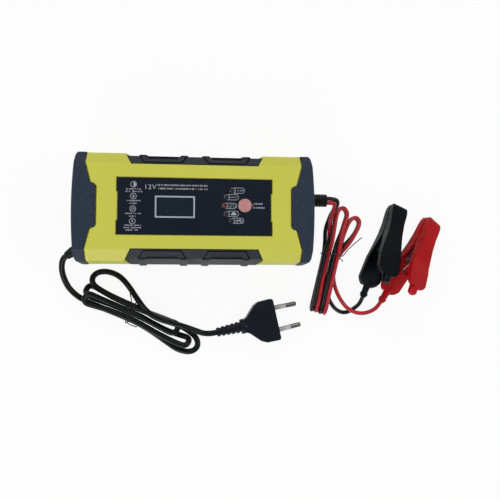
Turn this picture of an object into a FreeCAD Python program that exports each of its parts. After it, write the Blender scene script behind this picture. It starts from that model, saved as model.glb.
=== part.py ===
import FreeCAD
import Part
import math
import os

from FreeCAD import Vector

# A car battery charger lying on its four feet, with its mains lead tied in a hank in front of it
# and its two output leads tied in a hank beside it, each output lead ending in a spring clamp.
# Millimetres. The origin is on the ground under the middle of the housing, +X points to the end
# with the output leads, +Y to the rear and +Z up.

# Housing section, an octagon whose upper and lower edges are broad chamfers
HOUSING_LENGTH = 186.0
HOUSING_TOP = 50.0
FOOT_STANDOFF = 2.0
MIDDLE_HALF_WIDTH = 43.0
SHOULDER_INSET = 1.5
FLAT_INSET = 10.0
CHAMFER_DROP = 6.0
COVER_WALL = 2.6
PARTING_GAP = 0.3

# End caps, which slip over the ends of the two covers. Their border is given by its distances from the
# end face: at the side, at the shoulder and at the flat, and then as points with their y.
CAP_PROUD = 0.45
CAP_SKIRT = 1.8
CAP_END_WALL = 2.2
CAP_BULGE = 2.4
CAP_CORNER_RADIUS = 6.0
CAP_EDGE_RADIUS = 1.2
CAP_SETBACKS = (10.0, 10.2, 9.8)
CAP_CREST = [(13.8, 17.6), (16.6, 16.6), (18.2, 14.6)]
CAP_BLANK = 33.0
BORDER_GAP = 0.8
SKIRT_FIT = 0.1
COVER_END_GAP = 0.3

# Screws that hold the caps to the covers
CAP_SCREW_INSET = 9.5
CAP_SCREW_RISE = 7.5
CAP_SCREW_DROP = 8.0
CAP_SCREW_RADIUS = 1.5
CAP_SCREW_LENGTH = 11.0
CAP_SCREW_HEAD_RADIUS = 2.8
CAP_SCREW_HEAD = 1.8
SCREW_FIT = 0.1
COVER_BOSS_RADIUS = 4.2
COVER_BOSS_LENGTH = 7.1
CAP_BOSS_RADIUS = 3.8

# Rubber grips set into the long sides. They fold at the flats, at a shoulder and at the middle.
GRIP_SHOULDER_INSET = 3.4
GRIP_SHOULDER_DROP = 5.7
GRIP_MIDDLE_PROUD = 0.2
GRIP_HALF_LENGTHS = (48.0, 52.8, 49.5)
GRIP_THICKNESS = 2.2
GRIP_FIT = 0.5
GRIP_SEAT_GAP = 0.1
GRIP_BACKING = 1.6
GRIP_BACKING_MARGIN = 2.5
GRIP_RAIL_PROUD = 0.3
GRIP_GROOVE_WIDTH = 1.0
GRIP_GROOVE_DEPTH = 1.3
RAIL_CUT_DEPTH = 1.5
RAIL_TOP = (1.7, 10.6, 39.0)
RAIL_BOTTOM = (8.0, 7.4, 41.8)
RAIL_CUT_TOP = (4.6, 14.2, 35.4)
RAIL_CUT_BOTTOM = (8.1, 12.2, 37.4)
GRIP_RIB_PROUD = 1.0
GRIP_RIB_WIDTH = 6.5
GRIP_RIB_X = (8.4, 40.0)
GRIP_PEG_RADIUS = 2.0
GRIP_PEG_X = 30.0
GRIP_PEG_RISE = 9.0
GRIP_PEG_REACH = 5.0

# Front panel: printed overlay, display window, lamps and button
OVERLAY_LENGTH = 118.9
OVERLAY_WIDTH = 43.8
OVERLAY_THICKNESS = 0.5
OVERLAY_RIM = 0.5
OVERLAY_NOTCH = 0.9
OVERLAY_NOTCH_HALF = 11.0
WINDOW_CENTRE = (-15.3, -0.4)
WINDOW_SIZE = (27.9, 14.5)
WINDOW_OPENING = (25.5, 12.5)
WINDOW_THICKNESS = 1.75
WINDOW_FIT = 0.1
BUTTON_CENTRE = (38.3, 1.6)
BUTTON_RADIUS = 5.25
BUTTON_PROUD = 0.6
BUTTON_TRAVEL = 0.8
BUTTON_FIT = 0.2
BUTTON_FLANGE_RADIUS = 6.25
BUTTON_FLANGE = 1.0
BUTTON_STEM_RADIUS = 2.0
LAMP_ARC_RADIUS = 15.3
LAMP_STEP_DEG = 25.2
LAMP_COUNT = 5
LAMP_RADIUS = 1.7
LAMP_FLANGE = 0.5
LAMP_FIT = 0.1

# Display board under the top cover
DISPLAY_BOARD_X = (-36.0, 52.0)
DISPLAY_BOARD_HALF_WIDTH = 21.0
DISPLAY_BOARD_DROP = 9.4
BOARD_THICKNESS = 1.6
BOARD_CORNER_INSET = 3.5
POST_RADIUS = 3.0
BOARD_SCREW_RADIUS = 1.25
BOARD_SCREW_HEAD_RADIUS = 2.4
BOARD_SCREW_HEAD = 1.5
BOARD_SCREW_LENGTH = 5.0
DISPLAY_SIZE = (27.0, 16.0)
DISPLAY_CLEARANCE = 0.5
SWITCH_SIZE = 6.0
SWITCH_HEIGHT = 3.4
SWITCH_FLOOR = 1.2
PLUNGER_RADIUS = 1.7
PLUNGER_REACH = 2.2
PLUNGER_FIT = 0.05

# Main board and what stands on it. Setbacks run in from the board's ends, headrooms down from what is above.
MAIN_BOARD_SETBACKS = (19.0, 17.0)
MAIN_BOARD_HALF_WIDTH = 30.0
MAIN_BOARD_RISE = 5.4
TRANSFORMER_PLAN = (35.0, 30.0)
TRANSFORMER_HEADROOM = 0.8
TRANSFORMER_CENTRE = (12.5, 0.0)
TRANSFORMER_BOBBIN = (23.0, 27.0, 14.0)
PRIMARY_CAPACITOR_SETBACK = 24.0
PRIMARY_CAPACITOR_RADIUS = 9.0
PRIMARY_CAPACITOR_HEADROOM = 7.8
OUTPUT_CAPACITOR_SETBACKS = (30.0, 18.0)
OUTPUT_CAPACITOR_Y = 8.0
OUTPUT_CAPACITOR_RADIUS = 5.0
OUTPUT_CAPACITOR_HEADROOM = 4.8
HEAT_SINK_X = (-34.0, 26.0)
HEAT_SINK_Y = -22.5
HEAT_SINK_BASE = 3.0
HEAT_SINK_HEADROOM = 13.8
HEAT_SINK_FIN_RISE = 6.0
FIN_COUNT = 8
FIN_THICKNESS = 1.4
FIN_REACH = 6.5
TRANSISTOR_X = (-22.0, 12.0)
TRANSISTOR_SIZE = (10.0, 4.4, 15.5)
TRANSISTOR_RISE = 3.5
CHOKE_SETBACK = 14.0
CHOKE_Y = 19.0
CHOKE_RADIUS = 6.5
CHOKE_WIRE_RADIUS = 3.0
FUSE_SETBACK = 16.0
FUSE_Y = -19.0
FUSE_LENGTH = 20.0
FUSE_RADIUS = 2.6
FUSE_RISE = 1.0
FUSE_CLIP_SIZE = (5.0, 4.4)
FUSE_CLIP_SPREAD = 7.2
RECTIFIER_SETBACK = 41.0
RECTIFIER_Y = 8.0
RECTIFIER_PLAN = (4.0, 15.0)

# Cooling fan behind the left end cap
FAN_CLEARANCE = 1.4
FAN_DEPTH = 10.0
FAN_CORNER_RADIUS = 3.0
FAN_RIM = 1.0
FAN_HUB_RADIUS = 8.5
FAN_SEAT_DEPTH = 2.0
FAN_SPOKE_WIDTH = 2.4
FAN_BLADE_COUNT = 7
FAN_BLADE_CHORD = 6.8
FAN_BLADE_TWIST_DEG = 38.0
FAN_BLADE_THICKNESS = 1.2
FAN_TIP_GAP = 0.7
ROTOR_GAPS = (1.0, 2.5)
FAN_SHAFT_RADIUS = 1.0
FAN_SHAFT_GAP = 1.5
SHAFT_FIT = 0.05
FAN_SCREW_INSET = 4.0
FAN_SCREW_BITE = 1.5
FAN_WALL_GAP = 0.65
GRILLE_SLOTS = 7
GRILLE_SLOT = 2.2
GRILLE_PITCH = 4.4
GRILLE_MARGIN = 1.0
OUTLET_SLOTS = 6
OUTLET_SLOT = (2.4, 20.0)
OUTLET_FIRST_Y = -29.0
OUTLET_PITCH = 5.0

# Feet
FOOT_RADIUS = 5.0
FOOT_RECESS = 0.5
FOOT_FIT = 0.2
FOOT_SETBACK = 29.0
FOOT_Y = 24.0

# Strain reliefs, each placed by its y and its height over the covers' parting
DC_GLAND_PLACE = (10.1, -1.0)
DC_GLAND_REACH = 14.7
DC_GLAND_RADIUS = 5.25
DC_GLAND_RIB = 1.3
DC_GLAND_GROOVE = 0.8
MAINS_GLAND_PLACE = (-33.0, -5.0)
MAINS_GLAND_COLLAR = 3.0
MAINS_GLAND_RADIUS = 4.4
MAINS_SLEEVE_LEAN = (0.806, -0.507, -0.305)
MAINS_SLEEVE_LENGTH = 7.2
MAINS_SLEEVE_RADII = (4.1, 3.3)
MAINS_SLEEVE_RIBS = 3
MAINS_SLEEVE_GROOVE = 0.9
MAINS_SLEEVE_GROOVE_DEPTH = 0.7
GLAND_NECK_RADIUS = 3.8
GLAND_FLANGE_RADIUS = 5.5
GLAND_FLANGE = 1.6
GLAND_GROOVE_DEPTH = 1.1
GLAND_FIT = 0.05

# Cords
ARC_SHARE = 0.45
LEAST_TURN = math.radians(0.2)
MAINS_DIAMETER = 4.8
WIRE_DIAMETER = 3.4
WIRE_PITCH = 3.52
TIE_WIRE_RADIUS = 0.4
TIE_GAP = 0.1

# Mains plug, flat with two round pins
PLUG_CENTRE = (68.6, -86.8, 7.0)
PLUG_ANGLE_DEG = 12.6
PLUG_THICKNESS = 13.7
PLUG_OUTLINE = [(0.0, 17.3), (-12.0, 17.0), (-16.5, 14.8), (-20.5, 10.6), (-24.0, 7.0), (-27.0, 5.2)]
PLUG_EDGE = 2.0
PLUG_RING = (-30.4, -27.0, 6.2)
PLUG_BOOT_END = -50.4
PLUG_BOOT_RADIUS = (4.7, 3.5)
PIN_RADIUS = 2.0
PIN_LENGTH = 19.0
PIN_METAL_LENGTH = 9.0
PIN_CHAMFER = 0.8
PIN_SLEEVE_RADIUS = 2.0
PIN_SLEEVE_WALL = 0.4
PIN_ROOT = 9.3
PIN_SEAT_GAP = 0.08
PIN_TIP = 8.75

# Spring clamps: x runs to the tip, y across, z to the upper arm, from the pivot
GRIP_TIP = 36.0
ARM_PROFILE = [(36.0, 4.5), (33.0, 5.5), (15.0, 8.5), (0.0, 10.5), (-8.0, 11.5), (-30.0, 17.5)]
ARM_OPEN_SIDE = [(-30.0, 13.5), (-6.0, 6.5), (4.0, 2.5), (10.0, 0.8), (36.0, 0.5)]
ARM_PLAN = [(36.5, 6.6), (33.0, 7.3), (29.0, 7.3), (20.0, 6.5), (10.0, 6.7), (0.0, 7.9),
            (-12.0, 9.7), (-24.5, 9.7), (-28.0, 7.6), (-30.5, 4.6)]
HANDLE_END_FROM = -20.0
LOWER_HANDLE_EXTRA = 5.0
ARM_WALL = 1.6
NUB_RADIUS = 3.65
NUB_REACH = 11.0
NUB_START = (-25.5, 0.0, 13.1)
NUB_DIRECTION = (-0.985, 0.0, 0.17)
HOLLOW_END = -15.0
JAW_SHEET = 0.8
JAW_FIT = 0.1
JAW_TIP = 34.0
JAW_TIP_DROP = 0.6
JAW_BACK = -4.0
JAW_HALF_WIDTHS = (3.7, 2.7)
TOOTH_COUNT = 8
TOOTH_PITCH = 3.0
TOOTH_HEIGHT = 1.0
JAW_GAP = 0.15
EAR_RADIUS = 4.0
PIVOT_RADIUS = 1.5
PIVOT_FIT = 0.05
RIVET_HEAD_RADIUS = 2.6
RIVET_HEAD = 0.7
SPRING_WIRE_RADIUS = 0.5
SPRING_RADIUS = 2.7
SPRING_TURNS = 2
SPRING_PITCH = 1.2
CLAMP_BOOT_START = (-30.0, -14.3)
CLAMP_BOOT_LENGTH = 15.0
CLAMP_BOOT_RADIUS = (3.4, 2.6)
CLAMP_PITCH_DEG = 11.2
CLAMP_GROUND_GAP = 0.1
BLACK_CLAMP = (162.4, -25.3, 69.7, 10.5)
RED_CLAMP = (186.8, -34.8, 60.4, 21.0)

HALF_LENGTH = HOUSING_LENGTH / 2
SHOULDER_HALF_WIDTH = MIDDLE_HALF_WIDTH - SHOULDER_INSET
FLAT_HALF_WIDTH = MIDDLE_HALF_WIDTH - FLAT_INSET
BASE_Z = FOOT_STANDOFF
PARTING_Z = (HOUSING_TOP + BASE_Z) / 2
COVER_HALF_LENGTH = HALF_LENGTH - CAP_BULGE - CAP_CORNER_RADIUS
CAP_BLANK_X = HALF_LENGTH - CAP_BLANK
CAP_SCREW_Y = MIDDLE_HALF_WIDTH - CAP_SCREW_INSET
CEILING_Z = HOUSING_TOP - COVER_WALL
FLOOR_Z = BASE_Z + COVER_WALL
CAP_SCREW_Z = (BASE_Z + CAP_SCREW_RISE, HOUSING_TOP - CAP_SCREW_DROP)
GRIP_CHAIN = [(FLAT_HALF_WIDTH, HOUSING_TOP),
              (MIDDLE_HALF_WIDTH - GRIP_SHOULDER_INSET, HOUSING_TOP - GRIP_SHOULDER_DROP),
              (MIDDLE_HALF_WIDTH + GRIP_MIDDLE_PROUD, PARTING_Z),
              (MIDDLE_HALF_WIDTH - GRIP_SHOULDER_INSET, BASE_Z + GRIP_SHOULDER_DROP),
              (FLAT_HALF_WIDTH, BASE_Z)]
DISPLAY_BOARD_TOP = CEILING_Z - DISPLAY_BOARD_DROP
DISPLAY_BOARD_UNDERSIDE = DISPLAY_BOARD_TOP - BOARD_THICKNESS
MAIN_BOARD_X = (-HALF_LENGTH + MAIN_BOARD_SETBACKS[0], HALF_LENGTH - MAIN_BOARD_SETBACKS[1])
MAIN_BOARD_UNDERSIDE = FLOOR_Z + MAIN_BOARD_RISE
MAIN_BOARD_TOP = MAIN_BOARD_UNDERSIDE + BOARD_THICKNESS
FOOT_X = HALF_LENGTH - FOOT_SETBACK
FAN_SIZE = CEILING_Z - FLOOR_Z - 2 * FAN_CLEARANCE
FAN_BORE_RADIUS = FAN_SIZE / 2 - FAN_RIM
FAN_BLADE_RADIUS = FAN_BORE_RADIUS - FAN_TIP_GAP
FAN_SCREW_SPREAD = FAN_SIZE / 2 - FAN_SCREW_INSET
GRILLE_RADIUS = FAN_BORE_RADIUS - GRILLE_MARGIN
DC_GLAND = (DC_GLAND_PLACE[0], PARTING_Z + DC_GLAND_PLACE[1])
DC_GLAND_END = HALF_LENGTH + DC_GLAND_REACH
MAINS_GLAND = (MAINS_GLAND_PLACE[0], PARTING_Z + MAINS_GLAND_PLACE[1])
FAR = 300.0


def place(plane, a, b, c):
    """Turn drawing coordinates in a plane, and a height over it, into a point."""
    return {"yz": Vector(c, a, b), "xz": Vector(a, c, b), "xy": Vector(a, b, c)}[plane]


def prism(points, plane, start, end):
    """Extrude a closed outline, drawn in one plane, along the third axis."""
    corners = [place(plane, a, b, start) for a, b in points]
    face = Part.Face(Part.makePolygon(corners + corners[:1]))
    return face.extrude(place(plane, 0, 0, end - start))


def box(low, high):
    size = Vector(*high) - Vector(*low)
    return Part.makeBox(size.x, size.y, size.z, Vector(*low))


def rod(radius, start, end):
    axis = end - start
    return Part.makeCylinder(radius, axis.Length, start, axis)


def fused(shapes):
    return shapes[0].multiFuse(shapes[1:]) if len(shapes) > 1 else shapes[0]


def turned(profile, base, axis):
    """Turn a list of (distance along, radius) about an axis through a base point."""
    corners = [Vector(radius, 0, along) for along, radius in profile]
    corners = [Vector(0, 0, profile[0][0])] + corners + [Vector(0, 0, profile[-1][0])]
    face = Part.Face(Part.makePolygon(corners + corners[:1]))
    solid = face.revolve(Vector(), Vector(0, 0, 1), 360)
    solid.Placement = FreeCAD.Placement(base, FreeCAD.Rotation(Vector(0, 0, 1), axis))
    return solid


def offset_lines(points, distance):
    """Shift each stretch of a drawn line to its left, and give the shifted stretches."""
    shifted = []
    for (ax, ay), (bx, by) in zip(points, points[1:]):
        length = math.hypot(bx - ax, by - ay)
        nx = -(by - ay) / length * distance
        ny = (bx - ax) / length * distance
        shifted.append(((ax + nx, ay + ny), (bx + nx, by + ny)))
    return shifted


def crossing(first, second):
    """The point where two stretches meet when they are lengthened."""
    (ax, ay), (bx, by) = first
    (cx, cy), (dx, dy) = second
    turn = (bx - ax) * (dy - cy) - (by - ay) * (dx - cx)
    share = ((cx - ax) * (dy - cy) - (cy - ay) * (dx - cx)) / turn
    return (ax + share * (bx - ax), ay + share * (by - ay))


def offset_chain(points, distance):
    """An open line shifted to its left, its ends square to its first and last stretch."""
    lines = offset_lines(points, distance)
    middle = [crossing(a, b) for a, b in zip(lines, lines[1:])]
    return [lines[0][0]] + middle + [lines[-1][1]]


def offset_outline(points, distance):
    """A closed outline grown on every side."""
    area = sum(ax * by - bx * ay for (ax, ay), (bx, by) in zip(points, points[1:] + points[:1]))
    lines = offset_lines(points + points[:1], -distance if area > 0 else distance)
    return [crossing(a, b) for a, b in zip(lines[-1:] + lines, lines)]


def lengthened(points, extra):
    """An open line whose first and last stretch are made longer."""
    (ax, ay), (bx, by) = points[:2]
    (cx, cy), (dx, dy) = points[-2:]
    start = extra / math.hypot(bx - ax, by - ay)
    end = extra / math.hypot(dx - cx, dy - cy)
    first = (ax + (ax - bx) * start, ay + (ay - by) * start)
    last = (dx + (dx - cx) * end, dy + (dy - cy) * end)
    return [first] + points[1:-1] + [last]


def mirrored_x(shape):
    return shape.mirror(Vector(), Vector(1, 0, 0))


def mirrored_y(shape):
    return shape.mirror(Vector(), Vector(0, 1, 0))


nodes = {}


# Housing covers

def section(grow):
    """The housing's octagon, seen from its end, grown on every side."""
    half = [(FLAT_HALF_WIDTH, HOUSING_TOP), (SHOULDER_HALF_WIDTH, HOUSING_TOP - CHAMFER_DROP),
            (MIDDLE_HALF_WIDTH, PARTING_Z), (SHOULDER_HALF_WIDTH, BASE_Z + CHAMFER_DROP),
            (FLAT_HALF_WIDTH, BASE_Z)]
    return offset_outline(half + [(-y, z) for y, z in reversed(half)], grow)


def border_region(gap):
    """What lies beyond the right cap's border, drawn in plan and moved inwards by a gap."""
    border = list(zip(CAP_SETBACKS, (FAR, SHOULDER_HALF_WIDTH, FLAT_HALF_WIDTH))) + CAP_CREST
    rear = [(HALF_LENGTH - setback - gap, y) for setback, y in border]
    front = [(x, -y) for x, y in reversed(rear)]
    return prism(rear + front + [(FAR, -FAR), (FAR, FAR)], "xy", -FAR, FAR)


def grip_layer(near, far, extra, margin):
    """A slab along the rear grip's line, from one depth outwards to another."""
    line = lengthened(GRIP_CHAIN, extra) if extra else GRIP_CHAIN
    outline = offset_chain(line, far) + list(reversed(offset_chain(line, near)))
    slab = prism(outline, "yz", -FAR, FAR)
    heights = [z for y, z in GRIP_CHAIN]
    heights[0] += extra
    heights[-1] -= extra
    end, shoulder, middle = GRIP_HALF_LENGTHS
    side = list(zip((end, shoulder, middle, shoulder, end), heights))
    side += [(-x, z) for x, z in reversed(side)]
    return slab.common(prism(offset_outline(side, margin), "xz", 0.0, FAR))


def grip_pegs(radius, reach):
    """Pegs on the back of the rear grip, two into each cover."""
    pegs = []
    for x in (-GRIP_PEG_X, GRIP_PEG_X):
        for z in (PARTING_Z - GRIP_PEG_RISE, PARTING_Z + GRIP_PEG_RISE):
            outer = MIDDLE_HALF_WIDTH - GRIP_THICKNESS
            pegs.append(rod(radius, Vector(x, outer, z), Vector(x, outer - reach, z)))
    return pegs


def covers():
    """The upper and lower cover: one tube, open at both ends, split at its middle."""
    length = COVER_HALF_LENGTH
    ring = prism(section(0.0), "yz", -length, length)
    ring = ring.cut(prism(section(-COVER_WALL), "yz", -length - 1, length + 1))
    step = CAP_SKIRT - CAP_PROUD + SKIRT_FIT
    sleeve = prism(section(1.0), "yz", CAP_BLANK_X, length + 1)
    sleeve = sleeve.cut(prism(section(-step), "yz", CAP_BLANK_X - 1, length + 2))
    rebate = sleeve.common(border_region(BORDER_GAP))
    ring = ring.cut(fused([rebate, mirrored_x(rebate)]))
    backing_start = -(GRIP_THICKNESS + GRIP_SEAT_GAP)
    backing = grip_layer(backing_start - GRIP_BACKING, backing_start, GRIP_BACKING_MARGIN,
                         GRIP_BACKING_MARGIN)
    backing = backing.common(prism(section(0.0), "yz", -length, length))
    pocket = grip_layer(backing_start, 6.0, GRIP_FIT, GRIP_FIT)
    holes = fused(grip_pegs(GRIP_PEG_RADIUS + SCREW_FIT, 20.0))
    ring = ring.fuse(fused([backing, mirrored_y(backing)])).removeSplitter()
    ring = ring.cut(fused([pocket, mirrored_y(pocket), holes, mirrored_y(holes)]))
    bosses = []
    bores = []
    for side in (-1, 1):
        for y in (-CAP_SCREW_Y, CAP_SCREW_Y):
            for z in CAP_SCREW_Z:
                end = Vector(side * length, y, z)
                start = Vector(side * (length - COVER_BOSS_LENGTH), y, z)
                bosses.append(rod(COVER_BOSS_RADIUS, start, end))
                bores.append(rod(CAP_SCREW_RADIUS + SCREW_FIT, start - (end - start), end + (end - start)))
    bosses = fused(bosses).common(prism(section(-COVER_WALL / 2), "yz", -length, length))
    ring = ring.fuse(bosses).cut(fused(bores))
    split = PARTING_GAP / 2
    upper = ring.common(box((-FAR, -FAR, PARTING_Z + split), (FAR, FAR, FAR)))
    lower = ring.common(box((-FAR, -FAR, -FAR), (FAR, FAR, PARTING_Z - split)))
    return upper, lower


def board_corners(x_range, half_width, inset):
    return [(x, y) for x in (x_range[0] + inset, x_range[1] - inset)
            for y in (-half_width + inset, half_width - inset)]


def lamp_places():
    """The lamps stand on an arc about the button."""
    middle = (LAMP_COUNT - 1) / 2
    places = []
    for i in range(LAMP_COUNT):
        angle = math.radians(180 + (i - middle) * LAMP_STEP_DEG)
        places.append((BUTTON_CENTRE[0] + LAMP_ARC_RADIUS * math.cos(angle),
                       BUTTON_CENTRE[1] - LAMP_ARC_RADIUS * math.sin(angle)))
    return places


def rectangle(centre, size, bottom, top):
    x, y = centre
    return box((x - size[0] / 2, y - size[1] / 2, bottom), (x + size[0] / 2, y + size[1] / 2, top))


def overlay_plan(grow, bottom, top):
    """The overlay's outline: a rectangle whose short sides step in along their middle."""
    half_length = OVERLAY_LENGTH / 2 + grow
    half_width = OVERLAY_WIDTH / 2 + grow
    notch = OVERLAY_NOTCH_HALF - grow
    rear = [(half_length, -notch), (half_length, -half_width)]
    corner = [(half_length - OVERLAY_NOTCH, notch), (half_length - OVERLAY_NOTCH, -notch)] + rear
    outline = [(half_length, half_width), (half_length, notch)] + corner
    return prism(outline + [(-x, y) for x, y in reversed(outline)], "xy", bottom, top)


def display_posts(radius, bottom, top):
    places = board_corners(DISPLAY_BOARD_X, DISPLAY_BOARD_HALF_WIDTH, BOARD_CORNER_INSET)
    return fused([rod(radius, Vector(x, y, bottom), Vector(x, y, top)) for x, y in places])


def main_posts(radius, bottom, top):
    places = board_corners(MAIN_BOARD_X, MAIN_BOARD_HALF_WIDTH, BOARD_CORNER_INSET)
    return fused([rod(radius, Vector(x, y, bottom), Vector(x, y, top)) for x, y in places])


top_cover, bottom_cover = covers()
recess_floor = HOUSING_TOP - OVERLAY_THICKNESS
window_top = HOUSING_TOP - 0.05
window_bottom = window_top - WINDOW_THICKNESS
under_panel = DISPLAY_BOARD_TOP + 1.0
over_panel = HOUSING_TOP + 1.0
button_hole = rod(BUTTON_RADIUS + BUTTON_FIT, Vector(*BUTTON_CENTRE, under_panel),
                  Vector(*BUTTON_CENTRE, over_panel))
lamp_holes = fused([rod(LAMP_RADIUS + LAMP_FIT, Vector(x, y, under_panel), Vector(x, y, over_panel))
                    for x, y in lamp_places()])
window_seat = (WINDOW_SIZE[0] + 2 * WINDOW_FIT, WINDOW_SIZE[1] + 2 * WINDOW_FIT)
panel_cuts = fused([
    overlay_plan(OVERLAY_RIM, recess_floor, over_panel),
    rectangle(WINDOW_CENTRE, window_seat, window_bottom, over_panel),
    rectangle(WINDOW_CENTRE, WINDOW_OPENING, under_panel, over_panel), button_hole, lamp_holes])
top_cover = top_cover.fuse(display_posts(POST_RADIUS, DISPLAY_BOARD_TOP, CEILING_Z + 0.5))
top_cover = top_cover.cut(panel_cuts)
post_bores = display_posts(BOARD_SCREW_RADIUS + SCREW_FIT / 2, DISPLAY_BOARD_TOP - 1, CEILING_Z - 1)
nodes["top_cover"] = top_cover.cut(post_bores)

foot_seats = []
rubber_feet = []
for x in (-FOOT_X, FOOT_X):
    for y in (-FOOT_Y, FOOT_Y):
        foot_seats.append(rod(FOOT_RADIUS + FOOT_FIT, Vector(x, y, 0), Vector(x, y, BASE_Z + FOOT_RECESS)))
        foot = rod(FOOT_RADIUS, Vector(x, y, 0), Vector(x, y, BASE_Z + FOOT_RECESS))
        rim = [edge for edge in foot.Edges if edge.BoundBox.ZMax < 0.01]
        rubber_feet.append(foot.makeChamfer(0.5, rim))
bottom_cover = bottom_cover.fuse(main_posts(POST_RADIUS, FLOOR_Z - 0.5, MAIN_BOARD_UNDERSIDE))
main_bores = main_posts(BOARD_SCREW_RADIUS + SCREW_FIT / 2, FLOOR_Z + 1, MAIN_BOARD_UNDERSIDE + 1)
nodes["bottom_cover"] = bottom_cover.cut(fused(foot_seats)).cut(main_bores)
nodes["rubber_feet"] = Part.makeCompound(rubber_feet)


# End caps

def end_block(end_inset, side_inset):
    """The right end drawn in plan: the end wall bulges outwards and its corners are round."""
    half_width = MIDDLE_HALF_WIDTH + CAP_PROUD + 0.15
    radius = half_width ** 2 / (2 * CAP_BULGE) + CAP_BULGE / 2
    disc = Part.makeCylinder(radius - end_inset, HOUSING_TOP + 20, Vector(HALF_LENGTH - radius, 0, -10))
    side = half_width - side_inset
    block = disc.common(box((CAP_BLANK_X - 5, -side, -5), (FAR, side, HOUSING_TOP + 5)))
    corners = [edge for edge in block.Edges if edge.BoundBox.XMin > CAP_BLANK_X
               and edge.BoundBox.XLength < 0.01 and edge.BoundBox.ZLength > 1]
    return block.makeFillet(CAP_CORNER_RADIUS - side_inset, corners)


def end_face_x(y):
    """How far out the right end's bulging face lies."""
    half_width = MIDDLE_HALF_WIDTH + CAP_PROUD + 0.15
    radius = half_width ** 2 / (2 * CAP_BULGE) + CAP_BULGE / 2
    return HALF_LENGTH - radius + math.sqrt(radius ** 2 - y ** 2)


def end_cap():
    """The right cap with its screw bosses, before the holes that only one of the caps has."""
    outer = end_block(0.0, 0.0).common(prism(section(CAP_PROUD), "yz", CAP_BLANK_X, FAR))
    rim = [edge for edge in outer.Edges
           if edge.BoundBox.XMin > COVER_HALF_LENGTH + 0.5
           and max(edge.BoundBox.XLength, edge.BoundBox.YLength) > 0.05]
    outer = outer.makeFillet(CAP_EDGE_RADIUS, rim)
    hollow = end_block(CAP_END_WALL, CAP_SKIRT)
    hollow = hollow.common(prism(section(CAP_PROUD - CAP_SKIRT), "yz", CAP_BLANK_X - 1, FAR))
    cap = outer.cut(hollow).common(border_region(0.0))
    bosses = []
    bores = []
    for y in (-CAP_SCREW_Y, CAP_SCREW_Y):
        for z in CAP_SCREW_Z:
            face = end_face_x(y)
            boss_start = Vector(COVER_HALF_LENGTH + COVER_END_GAP, y, z)
            bosses.append(rod(CAP_BOSS_RADIUS, boss_start, Vector(face - 1, y, z)))
            bores.append(rod(CAP_SCREW_RADIUS + SCREW_FIT, boss_start - Vector(1, 0, 0), Vector(FAR, y, z)))
            sink = CAP_SCREW_HEAD_RADIUS + 2 * SCREW_FIT
            bores.append(rod(sink, Vector(face - CAP_SCREW_HEAD - 0.4, y, z), Vector(FAR, y, z)))
    return cap.fuse(fused(bosses)).cut(fused(bores))


def cap_screws():
    screws = []
    for side in (-1, 1):
        for y in (-CAP_SCREW_Y, CAP_SCREW_Y):
            for z in CAP_SCREW_Z:
                seat = end_face_x(y) - CAP_SCREW_HEAD - 0.4
                profile = [(-CAP_SCREW_LENGTH, CAP_SCREW_RADIUS), (0, CAP_SCREW_RADIUS),
                           (0, CAP_SCREW_HEAD_RADIUS), (CAP_SCREW_HEAD * 0.6, CAP_SCREW_HEAD_RADIUS),
                           (CAP_SCREW_HEAD, CAP_SCREW_HEAD_RADIUS * 0.6)]
                screw = turned(profile, Vector(seat, y, z), Vector(1, 0, 0))
                cross = fused([box((seat + 0.8, y - 1.4, z - 0.3), (seat + 3, y + 1.4, z + 0.3)),
                               box((seat + 0.8, y - 0.3, z - 1.4), (seat + 3, y + 0.3, z + 1.4))])
                screw = screw.cut(cross)
                screws.append(screw if side > 0 else mirrored_x(screw))
    return Part.makeCompound(screws)


plain_cap = end_cap()
outlets = []
for i in range(OUTLET_SLOTS):
    y = OUTLET_FIRST_Y + i * OUTLET_PITCH
    outlets.append(box((HALF_LENGTH - 8, y - OUTLET_SLOT[0] / 2, PARTING_Z - OUTLET_SLOT[1] / 2),
                       (HALF_LENGTH + 2, y + OUTLET_SLOT[0] / 2, PARTING_Z + OUTLET_SLOT[1] / 2)))
gland_hole = GLAND_NECK_RADIUS + GLAND_FIT
outlets.append(rod(gland_hole, Vector(COVER_HALF_LENGTH, *DC_GLAND), Vector(FAR, *DC_GLAND)))
nodes["right_end_cap"] = plain_cap.cut(fused(outlets))

fan_back = -(end_face_x(0) - CAP_END_WALL) + FAN_WALL_GAP
fan_front = fan_back + FAN_DEPTH
fan_corners = [(y, PARTING_Z + z) for y in (-FAN_SCREW_SPREAD, FAN_SCREW_SPREAD)
               for z in (-FAN_SCREW_SPREAD, FAN_SCREW_SPREAD)]
inlets = []
for i in range(GRILLE_SLOTS):
    rise = (i - (GRILLE_SLOTS - 1) / 2) * GRILLE_PITCH
    half = math.sqrt(GRILLE_RADIUS ** 2 - rise ** 2)
    inlets.append(box((-HALF_LENGTH - 2, -half, PARTING_Z + rise - GRILLE_SLOT / 2),
                      (-HALF_LENGTH + 6, half, PARTING_Z + rise + GRILLE_SLOT / 2)))
inlets.append(rod(gland_hole, Vector(-FAR, *MAINS_GLAND), Vector(-COVER_HALF_LENGTH, *MAINS_GLAND)))
for y, z in fan_corners:
    inlets.append(rod(BOARD_SCREW_RADIUS + SCREW_FIT / 2, Vector(fan_back - FAN_SCREW_BITE - 0.2, y, z),
                      Vector(-COVER_HALF_LENGTH, y, z)))
nodes["left_end_cap"] = mirrored_x(plain_cap).cut(fused(inlets))
nodes["cap_screws"] = cap_screws()


# Rubber grips

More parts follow.
